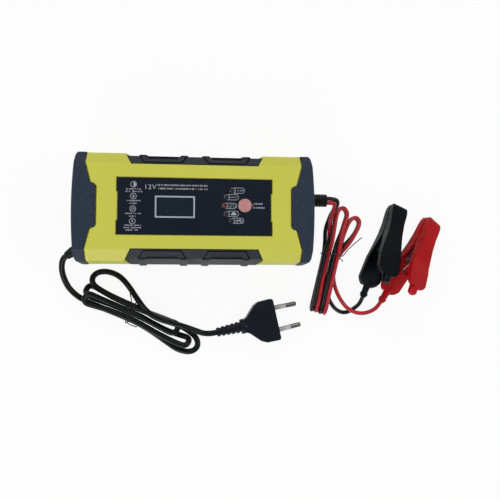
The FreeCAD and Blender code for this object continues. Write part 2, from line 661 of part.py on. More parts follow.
def chamfer_frame():
    """Placement whose x runs along the grip, y down its upper face and z out of it."""
    (ay, az), (by, bz) = GRIP_CHAIN[:2]
    down = Vector(0, by - ay, bz - az).normalize()
    out = Vector(0, -down.z, down.y)
    origin = Vector(0, ay, az)
    matrix = FreeCAD.Matrix(1, down.x, out.x, origin.x, 0, down.y, out.y, origin.y,
                            0, down.z, out.z, origin.z, 0, 0, 0, 1)
    return FreeCAD.Placement(matrix)


def trapezoid(top, bottom, grow):
    """A rail's outline on the grip's upper face, as (along the grip, down the face)."""
    s0, a0, b0 = top
    s1, a1, b1 = bottom
    return offset_outline([(a0, s0), (b0, s0), (b1, s1), (a1, s1)], grow)


def on_chamfer(outline, low, high):
    """A raised or sunk shape whose outline is drawn on the grip's upper face."""
    solid = prism(outline, "xy", low, high)
    solid.Placement = chamfer_frame()
    return solid


def grip():
    """The rear grip: a folded rubber plate with two raised rails, four ribs and four pegs."""
    body = grip_layer(-GRIP_THICKNESS, 0.0, 0.0, 0.0)
    added = []
    for x in (-GRIP_RIB_X[1], -GRIP_RIB_X[0], GRIP_RIB_X[0], GRIP_RIB_X[1]):
        line = GRIP_CHAIN[1:4]
        outline = offset_chain(line, GRIP_RIB_PROUD) + list(reversed(offset_chain(line, -0.5)))
        rib = prism(outline, "yz", x - GRIP_RIB_WIDTH / 2, x + GRIP_RIB_WIDTH / 2)
        ends = [edge for edge in rib.Edges if edge.BoundBox.YMin > GRIP_CHAIN[1][0] + 0.2
                and edge.BoundBox.XLength < 0.01 and edge.BoundBox.ZLength > 10]
        added.append(rib.makeChamfer(GRIP_RIB_PROUD * 0.9, ends))
    grooves = []
    rails = []
    for side in (-1, 1):
        for grow, low, high, store in ((GRIP_GROOVE_WIDTH, -GRIP_GROOVE_DEPTH, 3.0, grooves),
                                       (0.0, -GRIP_GROOVE_DEPTH - 0.1, GRIP_RAIL_PROUD, rails)):
            outline = [(side * a, s) for a, s in trapezoid(RAIL_TOP, RAIL_BOTTOM, grow)]
            store.append(on_chamfer(outline, low, high))
    cuts = []
    for side in (-1, 1):
        outline = [(side * a, s) for a, s in trapezoid(RAIL_CUT_TOP, RAIL_CUT_BOTTOM, 0.0)]
        cuts.append(on_chamfer(outline, -RAIL_CUT_DEPTH, 3.0))
    body = body.cut(fused(grooves))
    body = body.fuse(fused(rails)).cut(fused(cuts))
    return body.fuse(fused(added + grip_pegs(GRIP_PEG_RADIUS, GRIP_PEG_REACH))).removeSplitter()


rear_grip = grip()
nodes["rear_grip"] = rear_grip
nodes["front_grip"] = mirrored_y(rear_grip)


# Panel, button and display

overlay = overlay_plan(0.0, recess_floor, HOUSING_TOP)
window_hole = rectangle(WINDOW_CENTRE, window_seat, under_panel, over_panel)
overlay = overlay.cut(fused([window_hole, button_hole, lamp_holes]))
nodes["panel_overlay"] = overlay
nodes["display_window"] = rectangle(WINDOW_CENTRE, WINDOW_SIZE, window_bottom, window_top)

lenses = []
leds = []
for x, y in lamp_places():
    profile = [(CEILING_Z - LAMP_FLANGE, LAMP_RADIUS + 0.7), (CEILING_Z, LAMP_RADIUS + 0.7),
               (CEILING_Z, LAMP_RADIUS), (HOUSING_TOP, LAMP_RADIUS), (HOUSING_TOP + 0.15, LAMP_RADIUS * 0.7)]
    lenses.append(turned(profile, Vector(x, y, 0), Vector(0, 0, 1)))
    led_top = CEILING_Z - LAMP_FLANGE - 0.3
    leds.append(rod(1.5, Vector(x, y, DISPLAY_BOARD_TOP), Vector(x, y, led_top)))
nodes["indicator_lenses"] = Part.makeCompound(lenses)
nodes["indicator_leds"] = Part.makeCompound(leds)

flange_top = CEILING_Z - 0.3
flange_bottom = flange_top - BUTTON_FLANGE
plunger_top = DISPLAY_BOARD_TOP + SWITCH_FLOOR + BUTTON_TRAVEL + 0.2 + PLUNGER_REACH
button_top = HOUSING_TOP + BUTTON_PROUD
button_profile = [(plunger_top, BUTTON_STEM_RADIUS), (flange_bottom, BUTTON_STEM_RADIUS),
                  (flange_bottom, BUTTON_FLANGE_RADIUS), (flange_top, BUTTON_FLANGE_RADIUS),
                  (flange_top, BUTTON_RADIUS), (button_top - 0.4, BUTTON_RADIUS),
                  (button_top, BUTTON_RADIUS - 0.5)]
nodes["mode_button"] = turned(button_profile, Vector(*BUTTON_CENTRE, 0), Vector(0, 0, 1))
plunger_bottom = plunger_top - PLUNGER_REACH
nodes["switch_plunger"] = rod(PLUNGER_RADIUS, Vector(*BUTTON_CENTRE, plunger_bottom),
                              Vector(*BUTTON_CENTRE, plunger_top))
switch_body = rectangle(BUTTON_CENTRE, (SWITCH_SIZE, SWITCH_SIZE), DISPLAY_BOARD_TOP,
                        DISPLAY_BOARD_TOP + SWITCH_HEIGHT)
switch_bore = rod(PLUNGER_RADIUS + PLUNGER_FIT, Vector(*BUTTON_CENTRE, DISPLAY_BOARD_TOP + SWITCH_FLOOR),
                  Vector(*BUTTON_CENTRE, DISPLAY_BOARD_TOP + SWITCH_HEIGHT + 1))
nodes["tact_switch"] = switch_body.cut(switch_bore)


def board_screw(x, y, seat, direction):
    """A board screw whose head lies against the board."""
    profile = [(-BOARD_SCREW_HEAD, BOARD_SCREW_HEAD_RADIUS * 0.7), (-0.4, BOARD_SCREW_HEAD_RADIUS),
               (0, BOARD_SCREW_HEAD_RADIUS), (0, BOARD_SCREW_RADIUS),
               (BOARD_SCREW_LENGTH, BOARD_SCREW_RADIUS)]
    return turned(profile, Vector(x, y, seat), Vector(0, 0, direction))


display_board = box((DISPLAY_BOARD_X[0], -DISPLAY_BOARD_HALF_WIDTH, DISPLAY_BOARD_UNDERSIDE),
                    (DISPLAY_BOARD_X[1], DISPLAY_BOARD_HALF_WIDTH, DISPLAY_BOARD_TOP))
board_hole = BOARD_SCREW_RADIUS + SCREW_FIT
nodes["display_board"] = display_board.cut(display_posts(board_hole, MAIN_BOARD_TOP, CEILING_Z))
nodes["lcd_module"] = rectangle(WINDOW_CENTRE, DISPLAY_SIZE, DISPLAY_BOARD_TOP,
                                CEILING_Z - DISPLAY_CLEARANCE)
main_board = box((MAIN_BOARD_X[0], -MAIN_BOARD_HALF_WIDTH, MAIN_BOARD_UNDERSIDE),
                 (MAIN_BOARD_X[1], MAIN_BOARD_HALF_WIDTH, MAIN_BOARD_TOP))
nodes["main_board"] = main_board.cut(main_posts(board_hole, FLOOR_Z, DISPLAY_BOARD_TOP))
screws = [board_screw(x, y, DISPLAY_BOARD_UNDERSIDE, 1)
          for x, y in board_corners(DISPLAY_BOARD_X, DISPLAY_BOARD_HALF_WIDTH, BOARD_CORNER_INSET)]
screws += [board_screw(x, y, MAIN_BOARD_TOP, -1)
           for x, y in board_corners(MAIN_BOARD_X, MAIN_BOARD_HALF_WIDTH, BOARD_CORNER_INSET)]
nodes["board_screws"] = Part.makeCompound(screws)


# Parts on the main board

def transformer():
    """Ferrite core with a bobbin of windings between its legs."""
    x, y = TRANSFORMER_CENTRE
    top = DISPLAY_BOARD_UNDERSIDE - TRANSFORMER_HEADROOM
    core = rectangle((x, y), TRANSFORMER_PLAN, MAIN_BOARD_TOP, top)
    middle = (MAIN_BOARD_TOP + top) / 2
    half = TRANSFORMER_BOBBIN[2] / 2
    width = TRANSFORMER_PLAN[1] + 2
    window = rectangle((x, y), (TRANSFORMER_BOBBIN[0], width), middle - half, middle + half)
    bobbin = rectangle((x, y), (TRANSFORMER_BOBBIN[0], TRANSFORMER_BOBBIN[1]), middle - half, middle + half)
    rounds = [edge for edge in bobbin.Edges if edge.BoundBox.XLength > 1]
    return core.cut(window).fuse(bobbin.makeFillet(4.0, rounds))


def heat_sink():
    """An aluminium plate with upright fins on its front face."""
    low, high = HEAT_SINK_X
    top = CEILING_Z - HEAT_SINK_HEADROOM
    pieces = [box((low, HEAT_SINK_Y - HEAT_SINK_BASE, MAIN_BOARD_TOP), (high, HEAT_SINK_Y, top))]
    for i in range(FIN_COUNT):
        x = low + i * (high - low - FIN_THICKNESS) / (FIN_COUNT - 1)
        front = HEAT_SINK_Y - HEAT_SINK_BASE - FIN_REACH
        pieces.append(box((x, front, MAIN_BOARD_TOP + HEAT_SINK_FIN_RISE),
                          (x + FIN_THICKNESS, HEAT_SINK_Y - 1, top)))
    return fused(pieces).removeSplitter()


def transistor(x):
    """A flat power transistor standing against the heat sink on its three legs."""
    width, depth, height = TRANSISTOR_SIZE
    base = MAIN_BOARD_TOP + TRANSISTOR_RISE
    body = box((x - width / 2, HEAT_SINK_Y, base), (x + width / 2, HEAT_SINK_Y + depth, base + height))
    legs = [box((x + step - 0.4, HEAT_SINK_Y + 1.8, MAIN_BOARD_TOP),
                (x + step + 0.4, HEAT_SINK_Y + 2.4, base))
            for step in (-2.54, 0.0, 2.54)]
    return body.multiFuse(legs)


def can(x, y, radius, top):
    """An upright capacitor can with a rolled groove near its foot."""
    height = top - MAIN_BOARD_TOP
    profile = [(0, radius), (1.5, radius), (2.0, radius - 0.5), (2.5, radius), (height - 0.6, radius),
               (height, radius - 0.6)]
    return turned(profile, Vector(x, y, MAIN_BOARD_TOP), Vector(0, 0, 1))


nodes["transformer"] = transformer()
nodes["heat_sink"] = heat_sink()
nodes["power_transistors"] = Part.makeCompound([transistor(x) for x in TRANSISTOR_X])
board_left, board_right = MAIN_BOARD_X
standing_top = DISPLAY_BOARD_UNDERSIDE - OUTPUT_CAPACITOR_HEADROOM
nodes["primary_capacitor"] = can(board_left + PRIMARY_CAPACITOR_SETBACK, 0.0, PRIMARY_CAPACITOR_RADIUS,
                                 CEILING_Z - PRIMARY_CAPACITOR_HEADROOM)
nodes["output_capacitors"] = Part.makeCompound(
    [can(board_right - setback, OUTPUT_CAPACITOR_Y, OUTPUT_CAPACITOR_RADIUS, standing_top)
     for setback in OUTPUT_CAPACITOR_SETBACKS])
choke_centre = Vector(board_left + CHOKE_SETBACK, CHOKE_Y, MAIN_BOARD_TOP + CHOKE_WIRE_RADIUS)
nodes["choke"] = Part.makeTorus(CHOKE_RADIUS, CHOKE_WIRE_RADIUS, choke_centre)
fuse_x = board_left + FUSE_SETBACK
fuse_z = MAIN_BOARD_TOP + FUSE_RADIUS + FUSE_RISE
fuse_ends = [Vector(fuse_x + side * FUSE_LENGTH / 2, FUSE_Y, fuse_z) for side in (-1, 1)]
fuse_clips = [rectangle((x, FUSE_Y), FUSE_CLIP_SIZE, MAIN_BOARD_TOP, fuse_z)
              for x in (fuse_x - FUSE_CLIP_SPREAD, fuse_x + FUSE_CLIP_SPREAD)]
nodes["fuse"] = fused([rod(FUSE_RADIUS, *fuse_ends)] + fuse_clips)
rectifier_centre = (board_left + RECTIFIER_SETBACK, RECTIFIER_Y)
nodes["rectifier"] = rectangle(rectifier_centre, RECTIFIER_PLAN, MAIN_BOARD_TOP, standing_top)


# Fan

def fan_frame():
    """A square frame with a round duct and a motor seat on four spokes at its inner side."""
    half = FAN_SIZE / 2
    frame = box((fan_back, -half, PARTING_Z - half), (fan_front, half, PARTING_Z + half))
    rounds = [edge for edge in frame.Edges if edge.BoundBox.XLength > 1]
    frame = frame.makeFillet(FAN_CORNER_RADIUS, rounds)
    before = Vector(fan_back - 1, 0, PARTING_Z)
    beyond = Vector(fan_front + 1, 0, PARTING_Z)
    frame = frame.cut(rod(FAN_BORE_RADIUS, before, beyond))
    seat_back = fan_front - FAN_SEAT_DEPTH
    seat = rod(FAN_HUB_RADIUS, Vector(seat_back, 0, PARTING_Z), Vector(fan_front, 0, PARTING_Z))
    reach = FAN_BORE_RADIUS + FAN_RIM / 2
    width = FAN_SPOKE_WIDTH / 2
    spokes = [box((seat_back, -reach, PARTING_Z - width), (fan_front, reach, PARTING_Z + width)),
              box((seat_back, -width, PARTING_Z - reach), (fan_front, width, PARTING_Z + reach))]
    frame = frame.multiFuse([seat] + spokes)
    holes = [rod(BOARD_SCREW_RADIUS + SCREW_FIT, Vector(fan_back - 1, y, z), Vector(fan_front + 1, y, z))
             for y, z in fan_corners]
    bush = rod(FAN_SHAFT_RADIUS + SHAFT_FIT, before, beyond)
    return frame.cut(fused(holes + [bush]))


def fan_rotor():
    """A hub with slanted blades, bored for the shaft that is pressed into it."""
    back = fan_back + ROTOR_GAPS[0]
    front = fan_front - ROTOR_GAPS[1]
    pieces = [rod(FAN_HUB_RADIUS, Vector(back, 0, PARTING_Z), Vector(front, 0, PARTING_Z))]
    for i in range(FAN_BLADE_COUNT):
        half = FAN_BLADE_THICKNESS / 2
        reach = FAN_BLADE_CHORD / 2
        blade = box((-reach, -half, FAN_HUB_RADIUS - 2), (reach, half, FAN_BLADE_RADIUS))
        blade.rotate(Vector(), Vector(0, 0, 1), FAN_BLADE_TWIST_DEG)
        blade.translate(Vector((back + front) / 2, 0, PARTING_Z))
        blade.rotate(Vector(0, 0, PARTING_Z), Vector(1, 0, 0), i * 360 / FAN_BLADE_COUNT)
        pieces.append(blade)
    bore = rod(FAN_SHAFT_RADIUS, Vector(back + FAN_SHAFT_GAP, 0, PARTING_Z), Vector(front + 1, 0, PARTING_Z))
    return fused(pieces).cut(bore)


nodes["fan_frame"] = fan_frame()
nodes["fan_rotor"] = fan_rotor()
nodes["fan_shaft"] = rod(FAN_SHAFT_RADIUS, Vector(fan_back + ROTOR_GAPS[0] + FAN_SHAFT_GAP, 0, PARTING_Z),
                         Vector(fan_front, 0, PARTING_Z))
fan_screws = []
for y, z in fan_corners:
    profile = [(-1.5, 1.9), (-0.4, 2.4), (0, 2.4), (0, BOARD_SCREW_RADIUS),
               (FAN_DEPTH + FAN_SCREW_BITE, BOARD_SCREW_RADIUS)]
    fan_screws.append(turned(profile, Vector(fan_front, y, z), Vector(-1, 0, 0)))
nodes["fan_screws"] = Part.makeCompound(fan_screws)


# Strain reliefs

def collar_start(radius, y):
    """Where a strain relief's collar starts, just off the curved end face."""
    return end_face_x(abs(y) - radius) + 0.1


def gland(radius, rib, groove, y, z, end):
    """A ribbed rubber sleeve that grips the end wall between its collar and an inner flange."""
    inner = end_face_x(y) - 0.35 - CAP_END_WALL - 0.4
    start = collar_start(radius, y)
    profile = [(inner - GLAND_FLANGE, GLAND_FLANGE_RADIUS), (inner, GLAND_FLANGE_RADIUS),
               (inner, GLAND_NECK_RADIUS), (start, GLAND_NECK_RADIUS), (start, radius)]
    along = start
    groove_radius = radius - GLAND_GROOVE_DEPTH
    while along + rib + groove + rib <= end:
        profile += [(along + rib, radius), (along + rib, groove_radius),
                    (along + rib + groove, groove_radius), (along + rib + groove, radius)]
        along += rib + groove
    profile.append((end, radius * 0.96))
    return turned(profile, Vector(0, y, z), Vector(1, 0, 0)), inner - GLAND_FLANGE


def leaning_sleeve(start, lean):
    """The tapered, ribbed end of a strain relief that leans the way its cord falls."""
    wide, narrow = MAINS_SLEEVE_RADII
    pitch = MAINS_SLEEVE_LENGTH / MAINS_SLEEVE_RIBS
    profile = []
    for i in range(MAINS_SLEEVE_RIBS):
        radius = wide + (narrow - wide) * i / (MAINS_SLEEVE_RIBS - 1)
        low = radius - MAINS_SLEEVE_GROOVE_DEPTH
        rib_end = (i + 1) * pitch - MAINS_SLEEVE_GROOVE
        profile += [(i * pitch, radius), (rib_end, radius), (rib_end, low), ((i + 1) * pitch, low)]
    return turned(profile, start, lean).fuse(Part.makeSphere(wide, start))


dc_gland, dc_gland_inner = gland(DC_GLAND_RADIUS, DC_GLAND_RIB, DC_GLAND_GROOVE, *DC_GLAND, DC_GLAND_END)
collar_end = collar_start(MAINS_GLAND_RADIUS, MAINS_GLAND[0]) + MAINS_GLAND_COLLAR
mains_gland, mains_gland_inner = gland(MAINS_GLAND_RADIUS, MAINS_GLAND_COLLAR, 0.0, *MAINS_GLAND, collar_end)
sleeve_lean = Vector(*MAINS_SLEEVE_LEAN).normalize()
sleeve_start = Vector(collar_end, *MAINS_GLAND)
sleeve_end = sleeve_start + sleeve_lean * MAINS_SLEEVE_LENGTH
nodes["dc_gland"] = dc_gland
nodes["mains_gland"] = mirrored_x(mains_gland.fuse(leaning_sleeve(sleeve_start, sleeve_lean)))
mains_exit = Vector(-sleeve_end.x, sleeve_end.y, sleeve_end.z)
mains_exit_way = Vector(-sleeve_lean.x, sleeve_lean.y, sleeve_lean.z)


# Cords

def rounded_wire(points, name):
    """Straight runs through the points, joined by tangent arcs as large as the runs allow."""
    edges = []
    radii = []
    here = points[0]
    for before, corner, after in zip(points, points[1:], points[2:]):
        back = (before - corner).normalize()
        ahead = (after - corner).normalize()
        turn = math.pi - back.getAngle(ahead)
        if turn < LEAST_TURN:
            continue
        reach = ARC_SHARE * min((before - corner).Length, (after - corner).Length)
        radius = reach / math.tan(turn / 2)
        radii.append(radius)
        entry = corner + back * reach
        leave = corner + ahead * reach
        inward = (back + ahead).normalize()
        middle = corner + inward * (radius / math.cos(turn / 2) - radius)
        edges.append(Part.makeLine(here, entry))
        edges.append(Part.Arc(entry, middle, leave).toShape())
        here = leave
    edges.append(Part.makeLine(here, points[-1]))
    print(name, "radii", [round(radius, 1) for radius in radii])
    return Part.Wire(edges)


def tube(points, radius, name):
    """A round cord along the points, its volume set against its section times its length."""
    wire = rounded_wire(points, name)
    start = points[0]
    circle = Part.Wire(Part.makeCircle(radius, start, points[1] - start))
    solid = wire.makePipeShell([circle], True, False)
    expected = math.pi * radius ** 2 * wire.Length
    print(name, "length", round(wire.Length, 1), "volume ratio", round(solid.Volume / expected, 4))
    return solid, wire


def sample(wire):
    return wire.discretize(Distance=1.0)


def self_gap(wire, diameter):
    """The least gap between stretches of one cord that aren't next to each other."""
    points = sample(wire)
    least = FAR
    skip = int(3.2 * diameter)
    for i, point in enumerate(points):
        for other in points[i + skip:]:
            least = min(least, point.distanceToPoint(other))
    return least - diameter


def pair_gap(first, second, reach):
    """The least gap between two different cords."""
    others = sample(second)
    return min(min(point.distanceToPoint(other) for other in others) for point in sample(first)) - reach


def split(points, index):
    """Cut a route in the middle of one of its runs, so that its two halves meet face to face."""
    middle = (points[index] + points[index + 1]) * 0.5
    return points[:index + 1] + [middle], [middle] + points[index + 1:]


# Mains lead: from its gland round to the hank, three laps of it on two layers, and on to the plug
MAINS_TIE = Vector(-50.0, -81.5, 0)
MAINS_ALONG = Vector(0.917, -0.399, 0)
MAINS_ACROSS = Vector(0.399, 0.917, 0)
MAINS_LIFT = 0.95
WAIST = 8.0
LIFT_END = 30.0
MAINS_EXIT_RUN = 2.7
MAINS_LEAD = [(-104.9, -42.8, 15.0), (-105.2, -48.6, 11.2), (-103.8, -55.0, 7.4), (-100.8, -61.4, 4.4),
              (-95.8, -66.8, 2.7), (-89.0, -71.4, 2.4), (-80.4, -75.2, 2.4)]

# Stations of the hank: along it, across it, and height. Each lap goes out to the right and comes back.
MAINS_HANK = [
    (-18.0, -6.0, 2.45), (-8.0, -5.8, 2.45), (8.0, -5.8, 2.45), (22.0, -7.8, 2.4), (36.0, -10.9, 2.4),
    (47.0, -13.1, 2.4), (57.2, -10.9, 2.4), (61.2, -4.2, 2.4), (56.8, 2.4, 2.4), (46.0, 5.2, 2.4),
    (33.0, 6.0, 2.4), (20.0, 5.5, 2.4), (8.0, 4.8, 2.45), (-8.0, 4.8, 2.45), (-20.0, 5.2, 2.4),
    (-31.0, 6.6, 2.4), (-41.0, 7.4, 2.5), (-41.0, -1.0, 6.6), (-31.0, -1.5, 5.2), (-19.0, -0.7, 2.6),
    (-8.0, -0.5, 2.45), (8.0, -0.5, 2.45), (20.0, -1.4, 2.4), (32.0, -2.3, 2.4), (43.0, -1.4, 2.9),
    (52.2, -0.2, 5.0), (51.6, -7.6, 9.3), (42.0, -8.2, 8.3), (31.0, -7.6, 7.8), (20.0, -6.6, 7.75),
    (8.0, -5.05, 7.75), (-8.0, -5.0, 7.75), (-20.0, -5.5, 7.8), (-29.0, -6.7, 8.6), (-38.4, -7.8, 9.2),
    (-38.4, 0.9, 13.2), (-29.0, 0.5, 11.4), (-19.0, 0.3, 8.3), (-8.0, 0.25, 7.75), (8.0, 0.25, 7.75),
    (18.0, -1.0, 7.75), (29.0, -2.0, 7.8), (39.3, -2.5, 7.9), (39.3, 7.0, 8.0), (29.0, 5.6, 7.8),
    (18.0, 4.9, 7.75), (8.0, 5.5, 7.75), (-8.0, 5.5, 7.75), (-20.0, 5.8, 7.8)]
MAINS_TAIL = [
    (-30.0, 6.6, 7.9), (-38.0, 8.4, 7.9), (-40.9, 13.8, 6.0), (-38.6, 19.2, 3.0), (-33.0, 22.3, 2.4),
    (-26.6, 23.4, 2.4), (-20.4, 22.7, 2.4), (-14.8, 20.4, 2.4), (-9.2, 17.4, 3.4), (-3.6, 13.9, 6.6),
    (2.4, 10.5, 11.6), (9.0, 6.8, 14.3), (16.4, 4.6, 14.4), (24.8, 4.4, 13.8), (33.8, 5.6, 13.7),
    (43.0, 6.6, 13.0), (52.0, 7.2, 9.8)]


def mains_place(u, v, z):
    """A point by its place along and across the hank."""
    return MAINS_TIE + MAINS_ALONG * u + MAINS_ACROSS * v + Vector(0, 0, z)


def mains_point(u, v, z):
    """A point of the hank, lifted towards the waist, where the tie passes under it."""
    lift = MAINS_LIFT * min(1.0, max(0.0, (LIFT_END - abs(u)) / (LIFT_END - WAIST)))
    return mains_place(u, v, z + lift)


plug_axis = Vector(math.cos(math.radians(PLUG_ANGLE_DEG)), math.sin(math.radians(PLUG_ANGLE_DEG)), 0)
plug_side = Vector(-plug_axis.y, plug_axis.x, 0)
plug_base = Vector(*PLUG_CENTRE)
boot_end = plug_base + plug_axis * PLUG_BOOT_END
mains_end = [boot_end - plug_axis * 8.6, boot_end]
mains_route = [mains_exit, mains_exit + mains_exit_way * MAINS_EXIT_RUN] + [Vector(*p) for p in MAINS_LEAD]
lead_count = len(mains_route)
mains_route += [mains_point(*station) for station in MAINS_HANK]
hank_end = len(mains_route) - 1
mains_route += [mains_place(*station) for station in MAINS_TAIL] + mains_end
mains_lead, rest = split(mains_route, lead_count - 1)
mains_loops, mains_tail = split(rest, hank_end - lead_count + 2)
mains_radius = MAINS_DIAMETER / 2
mains_wires = {}
for name, points in (("mains_cord_lead", mains_lead), ("mains_cord_hank", mains_loops),
                     ("mains_cord_tail", mains_tail)):
    nodes[name], mains_wires[name] = tube(points, mains_radius, name)
print("mains hank gap to itself", round(self_gap(mains_wires["mains_cord_hank"], MAINS_DIAMETER), 2))
for name in ("mains_cord_lead", "mains_cord_tail"):
    print(name, "gap to itself", round(self_gap(mains_wires[name], MAINS_DIAMETER), 2))


# Output leads: a red and a black wire that run together, one and a half times round their hank
WIRE_TIE = Vector(115.4, -33.4, 0)
WIRE_ALONG = Vector(0.232, 0.973, 0)
WIRE_ACROSS = Vector(0.973, -0.232, 0)
WIRE_LAYERS = (2.7, 6.56, 10.42)
LANE = WIRE_PITCH
TWIST_SLACK = 0.2

# Stations of the pair: along the hank, across it, height, and the angle of red over black
PAIR_HANK = [
    (11.0, -4.9, 2.7, 0), (0.0, -LANE, WIRE_LAYERS[0], 0), (-14.0, -LANE, WIRE_LAYERS[0], 0),
    (-30.0, -LANE, 2.1, 0), (-43.6, -LANE, 1.85, 0), (-48.4, -LANE, 3.4, 0), (-48.4, -LANE, 8.2, 0),
    (-43.6, -LANE, 9.8, 0), (-30.0, -LANE, 7.6, 0), (-14.0, -LANE, WIRE_LAYERS[1], 0),
    (0.0, -LANE, WIRE_LAYERS[1], 0), (9.0, -3.3, 8.3, 45), (19.0, -2.6, 9.5, 90), (37.5, -3.9, 8.9, 90),
    (42.2, 0.9, 8.5, 90), (37.5, 5.9, 8.7, 90), (30.0, 5.0, 9.2, 90), (19.0, 4.0, 9.9, 90),
    (9.5, 3.3, 10.5, 45), (0.0, LANE, WIRE_LAYERS[2], 0), (-14.0, LANE, WIRE_LAYERS[2], 0),
    (-30.0, LANE, WIRE_LAYERS[2], 0), (-44.0, LANE, 11.2, 0), (-48.8, LANE, 9.4, 0), (-48.8, LANE, 4.6, 0),
    (-44.0, LANE, 3.0, 0), (-33.0, LANE, 5.9, 0), (-20.0, LANE, WIRE_LAYERS[1], 0),
    (0.0, LANE, WIRE_LAYERS[1], 0), (10.0, 5.0, 5.6, 45), (20.0, 7.2, 3.8, 90), (33.4, 9.6, 3.75, 90),
    (37.6, 14.6, 3.75, 90), (33.2, 19.4, 3.75, 90), (22.0, 16.6, 3.75, 90), (13.0, 12.4, 3.6, 60),
    (5.6, 7.5, 3.4, 28), (-2.0, 5.1, 2.9, 5), (-10.0, 4.8, 2.65, 0)]


def pair_point(station, side):
    """One wire's place at a station of the pair: side is -1 for black and 1 for red."""
    u, v, w, angle_deg = station
    half = side * WIRE_PITCH / 2 * (1 + TWIST_SLACK * abs(math.sin(math.radians(2 * angle_deg))))
    across = v + half * math.cos(math.radians(angle_deg))
    up = w + half * math.sin(math.radians(angle_deg))
    return WIRE_TIE + WIRE_ALONG * u + WIRE_ACROSS * across + Vector(0, 0, up)


BLACK_LEAD = [(113.4, 11.86, 25.0), (118.6, 10.8, 20.8), (119.2, 6.9, 15.6), (116.2, 3.0, 8.8),
              (114.1, -3.8, 3.9), (111.7, -11.6, 2.25)]
RED_LEAD = [(112.8, 8.34, 25.0), (115.5, 7.9, 22.8), (115.9, 5.3, 18.8), (115.4, 1.0, 13.7),
            (115.0, -4.4, 8.0), (115.1, -11.4, 4.3)]
BLACK_TAIL = [(112.9, -55.4, 1.8), (113.0, -64.2, 1.75), (115.4, -72.4, 1.75), (119.6, -78.6, 1.75),
              (125.4, -82.0, 1.75), (131.6, -81.4, 1.8), (136.4, -78.0, 2.8)]
RED_TAIL = [(118.4, -49.0, 2.6), (118.9, -57.0, 2.3), (121.6, -65.4, 2.3), (125.0, -72.6, 4.4),
            (129.4, -78.6, 7.2), (136.4, -82.0, 7.3), (143.6, -82.6, 5.6), (149.8, -80.8, 5.9)]


# Spring clamps

def clamp_axes(plan_deg, roll_deg):
    """The clamp's own x, y and z: its tip points down a little and it lies on one side."""
    plan = math.radians(plan_deg)
    pitch = math.radians(CLAMP_PITCH_DEG)
    roll = math.radians(roll_deg)
    ahead = Vector(math.cos(plan) * math.cos(pitch), math.sin(plan) * math.cos(pitch), -math.sin(pitch))
    level = Vector(-math.sin(plan), math.cos(plan), 0)
    up = ahead.cross(level)
    across = level * math.cos(roll) + up * math.sin(roll)
    return ahead, across, ahead.cross(across)


def clamp_placement(clamp, height):
    x, y, plan_deg, roll_deg = clamp
    ahead, across, up = clamp_axes(plan_deg, roll_deg)
    return FreeCAD.Placement(FreeCAD.Matrix(ahead.x, across.x, up.x, x, ahead.y, across.y, up.y, y,
                                            ahead.z, across.z, up.z, height, 0, 0, 0, 1))


def handle_longer(points, extra):
    """Move the points at the handle's end further back."""
    return [(x - extra if x < HANDLE_END_FROM else x, value) for x, value in points]


def arm_plan(inset, extra, low, high):
    inner = [(x, half - inset) for x, half in handle_longer(ARM_PLAN, extra)]
    if inset:
        inner = [(min(x, GRIP_TIP - inset * 0.9), half) for x, half in inner]
    return prism(inner + [(x, -half) for x, half in reversed(inner)], "xy", low, high)


def arm(extra):
    """An arm's plastic grip, a channel towards the other arm that is filled at its handle's end."""
    outline = handle_longer(ARM_PROFILE + ARM_OPEN_SIDE, extra)
    outer = prism(outline, "xz", -FAR, FAR).common(arm_plan(0.0, extra, -1, FAR))
    floor = offset_chain(ARM_PROFILE, ARM_WALL)
    floor[0] = (GRIP_TIP - ARM_WALL, floor[0][1])
    opening = [(floor[-1][0], -1.0), (GRIP_TIP - ARM_WALL, -1.0)]
    hollow = prism(floor + opening, "xz", -FAR, FAR).common(arm_plan(ARM_WALL, extra, -2, FAR))
    hollow = hollow.common(box((HOLLOW_END, -FAR, -2), (FAR, FAR, FAR)))
    return outer.cut(hollow), hollow


def arm_nub():
    """The upper arm's closed end, a short stub like the lower arm's cord sleeve."""
    profile = [(0, NUB_RADIUS - 0.4), (4, NUB_RADIUS), (NUB_REACH - 1.5, NUB_RADIUS),
               (NUB_REACH, NUB_RADIUS - 1.2)]
    return turned(profile, Vector(*NUB_START), Vector(*NUB_DIRECTION))


def clamp_boot():
    """The lower arm's sleeve for its lead, with a ring at its end."""
    pitch = math.radians(CLAMP_PITCH_DEG)
    direction = Vector(-math.cos(pitch), 0, -math.sin(pitch))
    start = Vector(CLAMP_BOOT_START[0], 0, CLAMP_BOOT_START[1])
    wide, narrow = CLAMP_BOOT_RADIUS
    length = CLAMP_BOOT_LENGTH
    profile = [(0, wide), (length - 3.5, narrow), (length - 3.5, narrow + 0.7), (length - 1.5, narrow + 0.7),
               (length - 1.5, narrow), (length, narrow)]
    return turned(profile, start, direction), start + direction * length, direction


